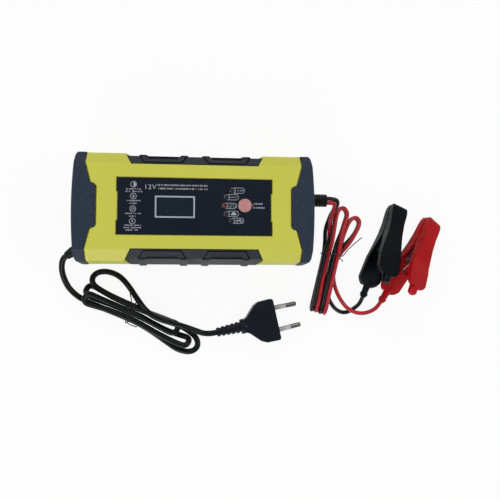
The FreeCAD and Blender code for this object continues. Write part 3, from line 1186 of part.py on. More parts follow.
def jaw(half_width):
    """The upper arm's pressed metal jaw: a channel with a toothed edge and two pivot ears."""
    floor = offset_chain(ARM_PROFILE, ARM_WALL + JAW_FIT)
    back = [(x, z) for x, z in floor if JAW_BACK < x < JAW_TIP]
    slope = (floor[-1][1] - floor[-2][1]) / (floor[-1][0] - floor[-2][0])
    top_back = (JAW_BACK, floor[-2][1] + slope * (JAW_BACK - floor[-2][0]))
    front_slope = (floor[2][1] - floor[1][1]) / (floor[2][0] - floor[1][0])
    top_front = (JAW_TIP, floor[2][1] + front_slope * (JAW_TIP - floor[2][0]) - JAW_TIP_DROP)
    back = [point for point in back if point[0] < JAW_TIP - 2.0]
    teeth = []
    for i in range(TOOTH_COUNT):
        x = JAW_TIP - i * TOOTH_PITCH
        teeth += [(x, JAW_GAP), (x - TOOTH_PITCH / 2, JAW_GAP + TOOTH_HEIGHT)]
    teeth.reverse()
    outline = [top_front] + back + [top_back, (JAW_BACK, 3.0), (8.0, 3.0)] + teeth
    solid = prism(outline, "xz", -half_width, half_width)
    ears = rod(EAR_RADIUS, Vector(0, -half_width, 0), Vector(0, half_width, 0))
    solid = solid.fuse(ears)
    lowered = [(x, z - JAW_SHEET) for x, z in [top_front] + back + [top_back]]
    lowered[0] = (JAW_TIP - JAW_SHEET, lowered[0][1])
    lowered[-1] = (JAW_BACK - 8.0, lowered[-1][1])
    inner = half_width - JAW_SHEET
    hollow = prism(lowered + [(JAW_BACK - 8.0, -10.0), (JAW_TIP - JAW_SHEET, -10.0)], "xz", -inner, inner)
    pivot = rod(PIVOT_RADIUS + PIVOT_FIT, Vector(0, -10, 0), Vector(0, 10, 0))
    return solid.cut(hollow).cut(pivot)


def torsion_spring():
    """Two turns about the pivot with a leg against the floor of each arm."""
    points = []
    steps = 12
    start_angle = math.radians(230)
    end_angle = start_angle - math.radians(SPRING_TURNS * 360 + 100)
    count = int(round((start_angle - end_angle) / math.radians(360 / steps)))
    reach = SPRING_RADIUS / math.cos(math.pi / steps)
    first = -SPRING_PITCH * (SPRING_TURNS + 0.28) / 2
    for i in range(count + 1):
        angle = start_angle + (end_angle - start_angle) * i / count
        across = first + SPRING_PITCH * (SPRING_TURNS + 0.28) * i / count
        points.append(Vector(reach * math.cos(angle), across, reach * math.sin(angle)))
    lower_leg = Vector(-13.0, first - 0.1, -10.6)
    upper_leg = Vector(-13.0, -first + 0.1, 10.6)
    return tube([lower_leg] + points + [upper_leg], SPRING_WIRE_RADIUS, "torsion_spring")[0]


shell, hollow = arm(0.0)
upper_arm = shell.fuse(arm_nub().cut(hollow))
boot, boot_tip, boot_direction = clamp_boot()
flip = FreeCAD.Placement(Vector(), FreeCAD.Rotation(Vector(1, 0, 0), 180))
shell, hollow = arm(LOWER_HANDLE_EXTRA)
shell.Placement = flip
hollow.Placement = flip
lower_arm = shell.fuse(boot.cut(hollow))
upper_jaw = jaw(JAW_HALF_WIDTHS[1])
lower_jaw = jaw(JAW_HALF_WIDTHS[0])
lower_jaw.Placement = flip
half_pin = JAW_HALF_WIDTHS[0] + PIVOT_FIT
pin_profile = [(-half_pin - RIVET_HEAD, RIVET_HEAD_RADIUS * 0.8), (-half_pin - 0.2, RIVET_HEAD_RADIUS),
               (-half_pin, RIVET_HEAD_RADIUS), (-half_pin, PIVOT_RADIUS), (half_pin, PIVOT_RADIUS),
               (half_pin, RIVET_HEAD_RADIUS), (half_pin + 0.2, RIVET_HEAD_RADIUS),
               (half_pin + RIVET_HEAD, RIVET_HEAD_RADIUS * 0.8)]
pivot_pin = turned(pin_profile, Vector(), Vector(0, 1, 0))
spring = torsion_spring()

clamp_tips = {}
pins = []
for colour, clamp in (("black", BLACK_CLAMP), ("red", RED_CLAMP)):
    trial = lower_arm.copy()
    trial.Placement = clamp_placement(clamp, 0.0).multiply(trial.Placement)
    height = CLAMP_GROUND_GAP - trial.BoundBox.ZMin
    placement = clamp_placement(clamp, height)
    for part_name, shape in (("lower_grip", lower_arm), ("upper_grip", upper_arm), ("lower_jaw", lower_jaw),
                             ("upper_jaw", upper_jaw), ("spring", spring)):
        placed = shape.copy()
        placed.Placement = placement.multiply(placed.Placement)
        nodes[colour + "_clamp_" + part_name] = placed
    pin = pivot_pin.copy()
    pin.Placement = placement.multiply(pin.Placement)
    pins.append(pin)
    tip = placement.multVec(boot_tip)
    back = placement.Rotation.multVec(boot_direction)
    clamp_tips[colour] = (tip, back)
    ahead, across, up = clamp_axes(*clamp[2:])
    print(colour, "clamp pivot", [round(c, 3) for c in placement.Base],
          "hinge axis", [round(-c, 5) for c in across])
    print(colour, "clamp boot end", [round(c, 2) for c in tip], "direction", [round(c, 3) for c in back])
nodes["clamp_pins"] = Part.makeCompound(pins)


# Output leads, from the gland to the clamps
wire_radius = WIRE_DIAMETER / 2
wires = {}
lead_routes = (("black", -1, BLACK_LEAD, BLACK_TAIL), ("red", 1, RED_LEAD, RED_TAIL))
for colour, side, first_points, tail in lead_routes:
    tip, back = clamp_tips[colour]
    exit_y = DC_GLAND[0] - side * WIRE_PITCH / 2
    exit_point = Vector(DC_GLAND_END, exit_y, DC_GLAND[1])
    route = [exit_point] + [Vector(*p) for p in first_points]
    lead_count = len(route)
    route += [pair_point(station, side) for station in PAIR_HANK]
    hank_end = len(route) - 1
    route += [Vector(*p) for p in tail] + [tip + back * 6.0, tip]
    lead, rest = split(route, lead_count - 1)
    loops, tail_points = split(rest, hank_end - lead_count + 1)
    for name, points in ((colour + "_lead_start", lead), (colour + "_lead_hank", loops),
                         (colour + "_lead_tail", tail_points)):
        nodes[name], wires[name] = tube(points, wire_radius, name)
    print(colour, "hank gap to itself", round(self_gap(wires[colour + "_lead_hank"], WIRE_DIAMETER), 2))
for first in ("black_lead_start", "black_lead_hank", "black_lead_tail"):
    for second in ("red_lead_start", "red_lead_hank", "red_lead_tail"):
        print(first, second, round(pair_gap(wires[first], wires[second], WIRE_DIAMETER), 2))


# Leads inside the housing
inner_mains = [Vector(-mains_gland_inner, *MAINS_GLAND), Vector(board_left - 8.0, *MAINS_GLAND),
               Vector(board_left - 2.6, -29.0, MAIN_BOARD_TOP + 6.0),
               Vector(board_left + 1.0, -24.4, MAIN_BOARD_TOP + 3.0),
               Vector(board_left + 3.6, -20.0, MAIN_BOARD_TOP + mains_radius)]
inner = [tube(inner_mains, mains_radius, "inner mains lead")[0]]
for side in (-1, 1):
    start = Vector(dc_gland_inner, DC_GLAND[0] - side * WIRE_PITCH / 2, DC_GLAND[1])
    offset = Vector(0, -side * WIRE_PITCH / 2, 0)
    stations = [Vector(board_right + 5.0, *DC_GLAND), Vector(board_right - 0.6, 7.4, MAIN_BOARD_TOP + 10.6),
                Vector(board_right - 4.4, 4.0, MAIN_BOARD_TOP + 7.2),
                Vector(board_right - 4.4, 4.0, MAIN_BOARD_TOP + 0.05)]
    inner.append(tube([start] + [p + offset for p in stations], wire_radius, "inner output lead")[0])
nodes["inner_leads"] = Part.makeCompound(inner)


# Ties

def tie(centre, along, across, outline, name):
    """A wire tie: an open ring round a waist, its two ends crossed and free."""
    points = [centre + across * a + Vector(0, 0, b) + along * c for a, b, c in outline]
    return tube(points, TIE_WIRE_RADIUS, name)[0]


# Tie points: across the waist, height, and along the hank
MAINS_TIE_ROUTE = [(-9.2, 3.0, 8.6), (-9.8, 2.4, 4.6), (-9.5, 4.4, 1.2), (-8.8, 11.2, 0.7),
                   (-3.2, 12.1, 0.4), (4.6, 11.9, 0.2), (8.8, 11.0, 0.0), (8.6, 4.6, 0.0),
                   (7.8, 0.55, -0.1), (3.0, 0.45, -0.2), (-4.0, 0.45, -0.3), (-9.0, 0.5, -0.5),
                   (-9.8, 4.8, -0.9), (-8.5, 11.3, -1.4), (-3.2, 12.1, -1.6), (4.6, 12.1, -2.1),
                   (10.0, 10.6, -4.4), (13.6, 9.0, -7.4)]
WIRE_TIE_ROUTE = [(11.8, 4.0, -2.6), (11.2, 2.6, -1.1), (9.9, 0.7, -0.2), (5.6, 0.45, 0.0),
                  (-3.4, 0.45, 0.0), (-7.7, 0.5, 0.0), (-8.1, 4.6, 0.0), (-7.5, 9.1, 0.2),
                  (-2.2, 11.6, 0.4), (1.4, 13.1, 0.4), (6.4, 13.0, 0.5), (9.0, 10.4, 0.8), (10.6, 8.8, 2.6),
                  (12.4, 8.8, 7.0), (16.6, 9.8, 13.4), (21.6, 11.6, 20.2)]
nodes["mains_tie"] = tie(MAINS_TIE, MAINS_ALONG, MAINS_ACROSS, MAINS_TIE_ROUTE, "mains_tie")
nodes["dc_tie"] = tie(WIRE_TIE, WIRE_ALONG, WIRE_ACROSS, WIRE_TIE_ROUTE, "dc_tie")


# Plug

def plug_place(shape):
    """Move a shape from the plug's own frame, x to the pins, to where the plug lies."""
    shape.Placement = FreeCAD.Placement(plug_base, FreeCAD.Rotation(Vector(0, 0, 1), PLUG_ANGLE_DEG))
    return shape


def plug_body():
    """A flat moulded body that narrows to a waist, with a ring and a boot for its cord."""
    outline = PLUG_OUTLINE + [(x, -y) for x, y in reversed(PLUG_OUTLINE)]
    half = PLUG_THICKNESS / 2
    flat = prism(outline, "xy", -half, half)
    side = [(1.0, half), (-12.0, half), (-20.0, half * 0.93), (-27.5, 5.0)]
    flat = flat.common(prism(side + [(x, -z) for x, z in reversed(side)], "xz", -20, 20))
    edge = [item for item in flat.Edges if abs(item.BoundBox.XMin) < 0.01 and item.BoundBox.XLength < 0.01]
    rounds = [item for item in edge if item.BoundBox.ZLength > 1]
    flat = flat.makeFillet(PLUG_EDGE, rounds)
    start, end, ring_radius = PLUG_RING
    wide, narrow = PLUG_BOOT_RADIUS
    profile = [(PLUG_BOOT_END, narrow)]
    ribs = 5
    pitch = (start - PLUG_BOOT_END) / ribs
    for i in range(ribs):
        radius = narrow + (wide - narrow) * (i + 1) / ribs
        along = PLUG_BOOT_END + i * pitch
        profile += [(along, radius), (along + pitch * 0.62, radius), (along + pitch * 0.62, radius - 0.7),
                    (along + pitch, radius - 0.7)]
    profile += [(start, ring_radius - 0.6), (start + 0.8, ring_radius), (end, ring_radius), (end + 3.5, 5.0)]
    tail = turned(profile, Vector(), Vector(1, 0, 0))
    return flat.fuse(tail)


def plug_pins():
    metal = []
    sleeves = []
    for side in (-1, 1):
        root = Vector(PIN_SEAT_GAP, side * PIN_ROOT, 0)
        tip = Vector(PIN_LENGTH, side * PIN_TIP, 0)
        axis = (tip - root).normalize()
        sleeve_end = PIN_LENGTH - PIN_METAL_LENGTH
        core = PIN_SLEEVE_RADIUS - PIN_SLEEVE_WALL
        profile = [(0, core), (sleeve_end, core), (sleeve_end, PIN_RADIUS),
                   (PIN_LENGTH - PIN_CHAMFER, PIN_RADIUS), (PIN_LENGTH, PIN_RADIUS - PIN_CHAMFER)]
        metal.append(turned(profile, root, axis))
        sleeve = rod(PIN_SLEEVE_RADIUS, root, root + axis * sleeve_end)
        sleeves.append(sleeve.cut(rod(core + SHAFT_FIT, root - axis, root + axis * (sleeve_end + 1))))
    return Part.makeCompound(metal), Part.makeCompound(sleeves)


nodes["plug_body"] = plug_place(plug_body())
pin_metal, pin_sleeves = plug_pins()
nodes["plug_pins"] = plug_place(pin_metal)
nodes["plug_pin_sleeves"] = plug_place(pin_sleeves)
for side in (-1, 1):
    root = Vector(PIN_SEAT_GAP, side * PIN_ROOT, 0)
    tip = Vector(PIN_LENGTH, side * PIN_TIP, 0)
    axis = (tip - root).normalize()
    middle = root + axis * ((PIN_LENGTH - PIN_CHAMFER) / 2)
    turn = FreeCAD.Rotation(Vector(0, 0, 1), PLUG_ANGLE_DEG)
    print("plug pin middle", [round(c, 4) for c in plug_base + turn.multVec(middle)],
          "axis", [round(c, 6) for c in turn.multVec(axis)])


os.makedirs("parts", exist_ok=True)
for name, shape in nodes.items():
    print(name, "solids", len(shape.Solids), "valid", shape.isValid(), "volume", round(shape.Volume, 1))
    shape.exportStep("parts/" + name + ".step")
print("nodes", len(nodes))
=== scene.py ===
import math

import bmesh
import bpy
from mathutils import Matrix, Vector


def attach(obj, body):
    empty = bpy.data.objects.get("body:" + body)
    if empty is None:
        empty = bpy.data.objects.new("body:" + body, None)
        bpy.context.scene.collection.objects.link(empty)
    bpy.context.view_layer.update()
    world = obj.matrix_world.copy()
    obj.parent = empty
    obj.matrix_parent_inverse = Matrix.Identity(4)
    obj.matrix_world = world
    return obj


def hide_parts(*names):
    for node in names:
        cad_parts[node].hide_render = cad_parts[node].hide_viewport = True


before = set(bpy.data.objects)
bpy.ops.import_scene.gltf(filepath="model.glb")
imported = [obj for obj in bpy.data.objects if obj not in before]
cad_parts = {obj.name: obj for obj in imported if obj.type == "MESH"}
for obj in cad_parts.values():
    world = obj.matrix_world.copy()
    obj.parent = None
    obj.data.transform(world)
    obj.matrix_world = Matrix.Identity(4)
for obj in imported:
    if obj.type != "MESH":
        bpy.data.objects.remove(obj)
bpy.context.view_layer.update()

# Camera
# It looks down on the charger from a little in front of it, as the photograph does.
camera_lens = bpy.data.cameras.new("overhead_lens")
camera_lens.sensor_width = 36.0
camera_lens.lens = 46.8
camera_lens.clip_start = 0.01
camera = bpy.data.objects.new("overhead_camera", camera_lens)
camera.location = (-0.00995, -0.06861, 0.54496)
camera.rotation_euler = (math.radians(4.109), math.radians(-6.022), math.radians(0.054))
bpy.context.scene.collection.objects.link(camera)
bpy.context.scene.camera = camera


# Mains lead
# A round black PVC lead, 4.8 mm thick. It leaves the left end cap through its leaning sleeve, goes three
# times round a flat hank that a twist tie holds at its waist, and loops back over it to its plug.

class Reading:
    """A value on its way through a material's nodes, which plain sums can be written on."""

    def __init__(self, tree, socket):
        self.tree = tree
        self.socket = socket

    def worked(self, operation, *terms):
        node = self.tree.nodes.new("ShaderNodeMath")
        node.operation = operation
        for entry, term in zip(node.inputs, terms):
            if isinstance(term, Reading):
                self.tree.links.new(term.socket, entry)
            else:
                entry.default_value = term
        return Reading(self.tree, node.outputs[0])

    def __add__(self, other):
        return self.worked("ADD", self, other)

    def __radd__(self, other):
        return self.worked("ADD", other, self)

    def __sub__(self, other):
        return self.worked("SUBTRACT", self, other)

    def __rsub__(self, other):
        return self.worked("SUBTRACT", other, self)

    def __mul__(self, other):
        return self.worked("MULTIPLY", self, other)

    def __rmul__(self, other):
        return self.worked("MULTIPLY", other, self)


# The sockets that a mix node has for colours, by their numbers
MIX_SHARE = 0
MIX_FIRST = 6
MIX_SECOND = 7
MIX_RESULT = 2


class Finish:
    """A surface finish: its material and the nodes that give its colour, gloss and grain."""

    def __init__(self, name, colour, roughness, **fixed):
        self.material = bpy.data.materials.new(name)
        self.material.use_nodes = True
        self.tree = self.material.node_tree
        self.surface = self.tree.nodes["Principled BSDF"]
        self.surface.inputs["Base Color"].default_value = (*colour, 1.0)
        self.surface.inputs["Roughness"].default_value = roughness
        for key, value in fixed.items():
            self.surface.inputs[key.replace("_", " ").title().replace("Ior", "IOR")].default_value = value
        self.place = self.node("ShaderNodeTexCoord", output="Object")

    def node(self, kind, settings=None, inputs=None, output=0):
        """A node of that kind, its settings made first and its sockets filled or linked."""
        node = self.tree.nodes.new(kind)
        for key, value in (settings or {}).items():
            setattr(node, key, value)
        for key, value in (inputs or {}).items():
            if isinstance(value, Reading):
                self.tree.links.new(value.socket, node.inputs[key])
            else:
                node.inputs[key].default_value = value
        return Reading(self.tree, node.outputs[output])

    def noise(self, size, detail=2.0):
        """Even noise from 0 to 1 whose blotches are about that many metres across."""
        return self.node("ShaderNodeTexNoise", {}, {"Vector": self.place, "Scale": 0.7 / size,
                                                    "Detail": detail}, "Fac")

    def ramp(self, value, low, high):
        """0 below low, 1 above high and smooth between them."""
        return self.node("ShaderNodeMapRange", {"interpolation_type": "SMOOTHSTEP"},
                         {"Value": value, "From Min": low, "From Max": high}, "Result")

    def mixed(self, share, first, second):
        """The first colour, going over to the second as share goes to 1."""
        ends = [value if isinstance(value, Reading) else (*value, 1.0) for value in (first, second)]
        return self.node("ShaderNodeMix", {"data_type": "RGBA"},
                         {MIX_SHARE: share, MIX_FIRST: ends[0], MIX_SECOND: ends[1]}, MIX_RESULT)

    def give(self, **readings):
        """Links readings to the surface's own sockets."""
        for key, reading in readings.items():
            self.tree.links.new(reading.socket, self.surface.inputs[key.replace("_", " ").title()])

    def relief(self, height, depth):
        """Bumps as deep as depth, in metres, where height goes from 0 to 1."""
        bump = self.node("ShaderNodeBump", {}, {"Height": height, "Distance": depth, "Strength": 1.0},
                         "Normal")
        self.give(normal=bump)


MM = 0.001


def in_metres(points):
    return [Vector(point) * MM for point in points]


MAINS_DIAMETER = 4.8 * MM
MAINS_TIE = Vector((-50.0, -81.5, 0.0))
MAINS_ALONG = Vector((0.917, -0.399, 0.0))
MAINS_ACROSS = Vector((0.399, 0.917, 0.0))
MAINS_LIFT = 0.95
WAIST = 8.0
LIFT_END = 30.0
mains_lead = [(-100.873, -36.651, 18.804), (-103.05, -38.02, 17.98), (-104.9, -42.8, 15.0),
              (-105.2, -48.6, 11.2), (-103.8, -55.0, 7.4), (-100.8, -61.4, 4.4), (-95.8, -66.8, 2.7),
              (-89.0, -71.4, 2.4), (-80.4, -75.2, 2.4)]

# Stations of the hank: along it, across it, and height. Each lap goes out to the right and comes back.
mains_stations = [
    (-18.0, -6.0, 2.45), (-8.0, -5.8, 2.45), (8.0, -5.8, 2.45), (22.0, -7.8, 2.4), (36.0, -10.9, 2.4),
    (47.0, -13.1, 2.4), (57.2, -10.9, 2.4), (61.2, -4.2, 2.4), (56.8, 2.4, 2.4), (46.0, 5.2, 2.4),
    (33.0, 6.0, 2.4), (20.0, 5.5, 2.4), (8.0, 4.8, 2.45), (-8.0, 4.8, 2.45), (-20.0, 5.2, 2.4),
    (-31.0, 6.6, 2.4), (-41.0, 7.4, 2.5), (-41.0, -1.0, 6.6), (-31.0, -1.5, 5.2), (-19.0, -0.7, 2.6),
    (-8.0, -0.5, 2.45), (8.0, -0.5, 2.45), (20.0, -1.4, 2.4), (32.0, -2.3, 2.4), (43.0, -1.4, 2.9),
    (52.2, -0.2, 5.0), (51.6, -7.6, 9.3), (42.0, -8.2, 8.3), (31.0, -7.6, 7.8), (20.0, -6.6, 7.75),
    (8.0, -5.05, 7.75), (-8.0, -5.0, 7.75), (-20.0, -5.5, 7.8), (-29.0, -6.7, 8.6), (-38.4, -7.8, 9.2),
    (-38.4, 0.9, 13.2), (-29.0, 0.5, 11.4), (-19.0, 0.3, 8.3), (-8.0, 0.25, 7.75), (8.0, 0.25, 7.75),
    (18.0, -1.0, 7.75), (29.0, -2.0, 7.8), (39.3, -2.5, 7.9), (39.3, 7.0, 8.0), (29.0, 5.6, 7.8),
    (18.0, 4.9, 7.75), (8.0, 5.5, 7.75), (-8.0, 5.5, 7.75), (-20.0, 5.8, 7.8)]
mains_tail = [
    (-30.0, 6.6, 7.9), (-38.0, 8.4, 7.9), (-40.9, 13.8, 6.0), (-38.6, 19.2, 3.0), (-33.0, 22.3, 2.4),
    (-26.6, 23.4, 2.4), (-20.4, 22.7, 2.4), (-14.8, 20.4, 2.4), (-9.2, 17.4, 3.4), (-3.6, 13.9, 6.6),
    (2.4, 10.5, 11.6), (9.0, 6.8, 14.3), (16.4, 4.6, 14.4), (24.8, 4.4, 13.8), (33.8, 5.6, 13.7),
    (43.0, 6.6, 13.0), (52.0, 7.2, 9.8)]


def mains_place(u, v, z):
    """A point by its place along and across the mains hank."""
    return MAINS_TIE + MAINS_ALONG * u + MAINS_ACROSS * v + Vector((0.0, 0.0, z))


def mains_point(u, v, z):
    """A point of the mains hank, lifted towards the waist, where the tie passes under it."""
    lift = MAINS_LIFT * min(1.0, max(0.0, (LIFT_END - abs(u)) / (LIFT_END - WAIST)))
    return mains_place(u, v, z + lift)


PLUG_CENTRE = Vector((68.6, -86.8, 7.0))
PLUG_TURN = math.radians(12.6)
PLUG_BOOT_REACH = 50.4
CORD_RUN_IN = 8.6
plug_axis = Vector((math.cos(PLUG_TURN), math.sin(PLUG_TURN), 0.0))
plug_boot_end = PLUG_CENTRE - plug_axis * PLUG_BOOT_REACH
mains_route = mains_lead + [mains_point(*station) for station in mains_stations]
mains_route += [mains_place(*station) for station in mains_tail]
mains_route += [plug_boot_end - plug_axis * CORD_RUN_IN, plug_boot_end]


def laid_cord(name, route, diameter, finish):
    """A smooth round cord whose control points are the corners of its route."""
    line = bpy.data.curves.new(name, "CURVE")
    line.dimensions = "3D"
    line.resolution_u = 16
    line.bevel_depth = diameter / 2
    line.bevel_resolution = 6
    line.use_fill_caps = True
    spline = line.splines.new("NURBS")
    spline.points.add(len(route) - 1)
    for point, place in zip(spline.points, route):
        point.co = (*place, 1.0)
    spline.order_u = 3
    spline.use_endpoint_u = True
    spline.use_smooth = True
    line.materials.append(finish.material)
    piece = bpy.data.objects.new(name, line)
    bpy.context.scene.collection.objects.link(piece)
    return piece


# Black PVC has a soft gloss, broken by handling marks and a very fine skin texture.
cord_black = Finish("cord_black", (0.003, 0.0035, 0.004), 0.3, specular_ior_level=0.2)
handled = cord_black.noise(6 * MM)
cord_black.give(roughness=0.26 + 0.14 * handled,
                base_color=cord_black.mixed(handled, (0.002, 0.0025, 0.003), (0.005, 0.0055, 0.006)))
cord_black.relief(cord_black.noise(0.5 * MM), 0.004 * MM)

mains_cord = laid_cord("mains_cord", in_metres(mains_route), MAINS_DIAMETER, cord_black)
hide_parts("mains_cord_lead", "mains_cord_hank", "mains_cord_tail")
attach(mains_cord, "housing")


# Output leads
# A red and a black PVC wire, 3.4 mm thick, that leave the right end cap side by side. They go two and a
# half times round a standing hank, held by a twist tie at its middle, and end in the sleeves of the clamps.
WIRE_DIAMETER = 3.4 * MM
WIRE_PITCH = 3.52
WIRE_TIE = Vector((115.4, -33.4, 0.0))
WIRE_ALONG = Vector((0.232, 0.973, 0.0))
WIRE_ACROSS = Vector((0.973, -0.232, 0.0))
LANE = WIRE_PITCH
LOW, MIDDLE, HIGH = 2.7, 6.56, 10.42

# Stations of the pair: along the hank, across it, height, and the angle of red over black
pair_stations = [
    (11.0, -4.9, LOW, 0), (0.0, -LANE, LOW, 0), (-14.0, -LANE, LOW, 0), (-30.0, -LANE, 2.1, 0),
    (-43.6, -LANE, 1.85, 0), (-48.4, -LANE, 3.4, 0), (-48.4, -LANE, 8.2, 0), (-43.6, -LANE, 9.8, 0),
    (-30.0, -LANE, 7.6, 0), (-14.0, -LANE, MIDDLE, 0), (0.0, -LANE, MIDDLE, 0), (9.0, -3.3, 8.3, 45),
    (19.0, -2.6, 9.5, 90), (37.5, -3.9, 8.9, 90), (42.2, 0.9, 8.5, 90), (37.5, 5.9, 8.7, 90),
    (30.0, 5.0, 9.2, 90), (19.0, 4.0, 9.9, 90), (9.5, 3.3, 10.5, 45), (0.0, LANE, HIGH, 0),
    (-14.0, LANE, HIGH, 0), (-30.0, LANE, HIGH, 0), (-44.0, LANE, 11.2, 0), (-48.8, LANE, 9.4, 0),
    (-48.8, LANE, 4.6, 0), (-44.0, LANE, 3.0, 0), (-33.0, LANE, 5.9, 0), (-20.0, LANE, MIDDLE, 0),
    (0.0, LANE, MIDDLE, 0), (10.0, 5.0, 5.6, 45), (20.0, 7.2, 3.8, 90), (33.4, 9.6, 3.75, 90),
    (37.6, 14.6, 3.75, 90), (33.2, 19.4, 3.75, 90), (22.0, 16.6, 3.75, 90), (13.0, 12.4, 3.6, 60),
    (5.6, 7.5, 3.4, 28), (-2.0, 5.1, 2.9, 5), (-10.0, 4.8, 2.65, 0)]


def pair_point(station, side):
    """One wire's place at a station of the pair: side is -1 for black and 1 for red."""
    u, v, w, degrees = station
    angle = math.radians(degrees)
    half = side * WIRE_PITCH / 2 * (1 + 0.2 * abs(math.sin(2 * angle)))
    across = v + half * math.cos(angle)
    return WIRE_TIE + WIRE_ALONG * u + WIRE_ACROSS * across + Vector((0.0, 0.0, w + half * math.sin(angle)))


black_lead = [(107.7, 11.86, 25.0), (113.4, 11.86, 25.0), (118.6, 10.8, 20.8), (119.2, 6.9, 15.6),
              (116.2, 3.0, 8.8), (114.1, -3.8, 3.9), (111.7, -11.6, 2.25)]
red_lead = [(107.7, 8.34, 25.0), (112.8, 8.34, 25.0), (115.5, 7.9, 22.8), (115.9, 5.3, 18.8),
            (115.4, 1.0, 13.7), (115.0, -4.4, 8.0), (115.1, -11.4, 4.3)]
black_tail = [(112.9, -55.4, 1.8), (113.0, -64.2, 1.75), (115.4, -72.4, 1.75), (119.6, -78.6, 1.75),
              (125.4, -82.0, 1.75), (131.6, -81.4, 1.8), (136.4, -78.0, 2.8), (140.82, -73.98, 5.22),
              (143.1, -68.43, 5.2)]
red_tail = [(118.4, -49.0, 2.6), (118.9, -57.0, 2.3), (121.6, -65.4, 2.3), (125.0, -72.6, 4.4),
            (129.4, -78.6, 7.2), (136.4, -82.0, 7.3), (143.6, -82.6, 5.6), (149.8, -80.8, 5.9),
            (154.91, -77.61, 7.11), (158.23, -72.61, 7.03)]


def wire_finish(name, dark, pale):
    """Glossy PVC insulation whose tone drifts a little along the wire."""
    finish = Finish(name, dark, 0.3, specular_ior_level=0.3)
    drift = finish.noise(9 * MM)
    finish.give(base_color=finish.mixed(drift, dark, pale), roughness=0.22 + 0.18 * drift)
    finish.relief(finish.noise(0.8 * MM), 0.015 * MM)
    return finish


wire_black = wire_finish("wire_black", (0.002, 0.002, 0.003), (0.006, 0.006, 0.008))
wire_red = wire_finish("wire_red", (0.38, 0.012, 0.020), (0.50, 0.022, 0.036))
for colour, side, lead, tail, finish in (
        ("black", -1, black_lead, black_tail, wire_black),
        ("red", 1, red_lead, red_tail, wire_red)):
    route = lead + [pair_point(station, side) for station in pair_stations] + tail
    wire = laid_cord(colour + "_lead", in_metres(route), WIRE_DIAMETER, finish)
    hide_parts(*(colour + "_lead_" + part for part in ("start", "hank", "tail")))
    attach(wire, "housing")


# Twist ties
# Each hank is held by a short black twist tie, a thin wire in a plastic skin, with its two ends free.
def dress(finish, *nodes):
    """Gives CAD pieces their finish."""
    for node in nodes:
        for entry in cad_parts[node].material_slots:
            entry.material = finish.material


tie_black = Finish("tie_black", (0.008, 0.008, 0.010), 0.5)
tie_black.relief(tie_black.noise(0.6 * MM), 0.05 * MM)
dress(tie_black, "mains_tie", "dc_tie")


# Housing covers
# Two mouldings of yellow ABS with a fine spark-eroded texture, which meet along the housing's middle. The
# mould leaves every edge slightly round.
SHARP_EDGE = math.radians(25)
SAME_PLANE = math.radians(0.3)
SAME_POINT = 0.001 * MM


def softened(node, width, finish):
    """A copy of a CAD piece whose sharp edges are rounded, as a mould leaves them."""
    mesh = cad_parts[node].data.copy()
    build = bmesh.new()
    build.from_mesh(mesh)
    bmesh.ops.remove_doubles(build, verts=build.verts, dist=SAME_POINT)
    bmesh.ops.dissolve_limit(build, angle_limit=SAME_PLANE, verts=build.verts, edges=build.edges)
    build.to_mesh(mesh)
    build.free()
    mesh.name = node + "_moulding"
    mesh.materials.clear()
    mesh.materials.append(finish.material)
    mesh.polygons.foreach_set("use_smooth", [True] * len(mesh.polygons))
    mesh.set_sharp_from_angle(angle=SHARP_EDGE)
    piece = bpy.data.objects.new(node + "_moulding", mesh)
    bpy.context.scene.collection.objects.link(piece)
    edge = piece.modifiers.new("edge", "BEVEL")
    edge.width = width
    edge.segments = 2
    edge.limit_method = "ANGLE"
    edge.angle_limit = SHARP_EDGE
    edge.harden_normals = True
    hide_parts(node)
    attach(piece, "housing")
    return piece


cover_yellow = Finish("cover_yellow", (0.58, 0.575, 0.065), 0.48)
shading = cover_yellow.noise(40 * MM, 3.0)
cover_yellow.give(base_color=cover_yellow.mixed(shading, (0.555, 0.55, 0.050), (0.61, 0.60, 0.080)),
                  roughness=0.42 + 0.14 * cover_yellow.noise(1.5 * MM))
cover_yellow.relief(cover_yellow.noise(0.35 * MM, 3.0), 0.03 * MM)
for node in ("top_cover", "bottom_cover"):
    softened(node, 0.3 * MM, cover_yellow)


# End caps and rubber grips
# The caps are blue-black ABS with a coarse grain whose peaks carry pale painted glints. The two grips are
# rubber of the same colour, pegged into the covers, with raised rails and four ribs each.
def grain_with_painted_glints(name, colour, glint_colour, grain_size, shine):
    """Coarse moulded texture: a dark ground whose grain peaks carry fine pale painted glints."""
    finish = Finish(name, colour, shine, specular_ior_level=0.3)
    cells = {"Vector": finish.place, "Scale": 1.0 / grain_size}
    distance = finish.node("ShaderNodeTexVoronoi", {}, cells, "Distance")
    pick = finish.node("ShaderNodeTexVoronoi", {}, cells, "Color")
    chosen = finish.ramp(finish.node("ShaderNodeSeparateColor", {}, {"Color": pick}, "Red"), 0.45, 0.95)
    # The pale specks are painted glints, put into the base colour on the raised peaks of chosen grain cells
    painted_glint = (1.0 - finish.ramp(distance, 0.12, 0.42)) * chosen
    cloud = finish.noise(7 * MM, 3.0)
    ground = finish.mixed(cloud, [0.8 * part for part in colour], [1.2 * part for part in colour])
    finish.give(base_color=finish.mixed(painted_glint * 0.6, ground, glint_colour),
                roughness=shine + 0.12 * finish.noise(0.8 * MM))
    finish.relief(finish.noise(0.5 * MM, 3.0) + 0.5 * painted_glint, 0.07 * MM)
    return finish


cap_texture = grain_with_painted_glints("cap_texture", (0.012, 0.022, 0.044), (0.10, 0.12, 0.18), 0.75 * MM, 0.5)
grip_texture = grain_with_painted_glints("grip_texture", (0.009, 0.013, 0.021), (0.11, 0.12, 0.15), 0.6 * MM, 0.46)
for node in ("left_end_cap", "right_end_cap"):
    softened(node, 0.35 * MM, cap_texture)
for node in ("front_grip", "rear_grip"):
    softened(node, 0.25 * MM, grip_texture)


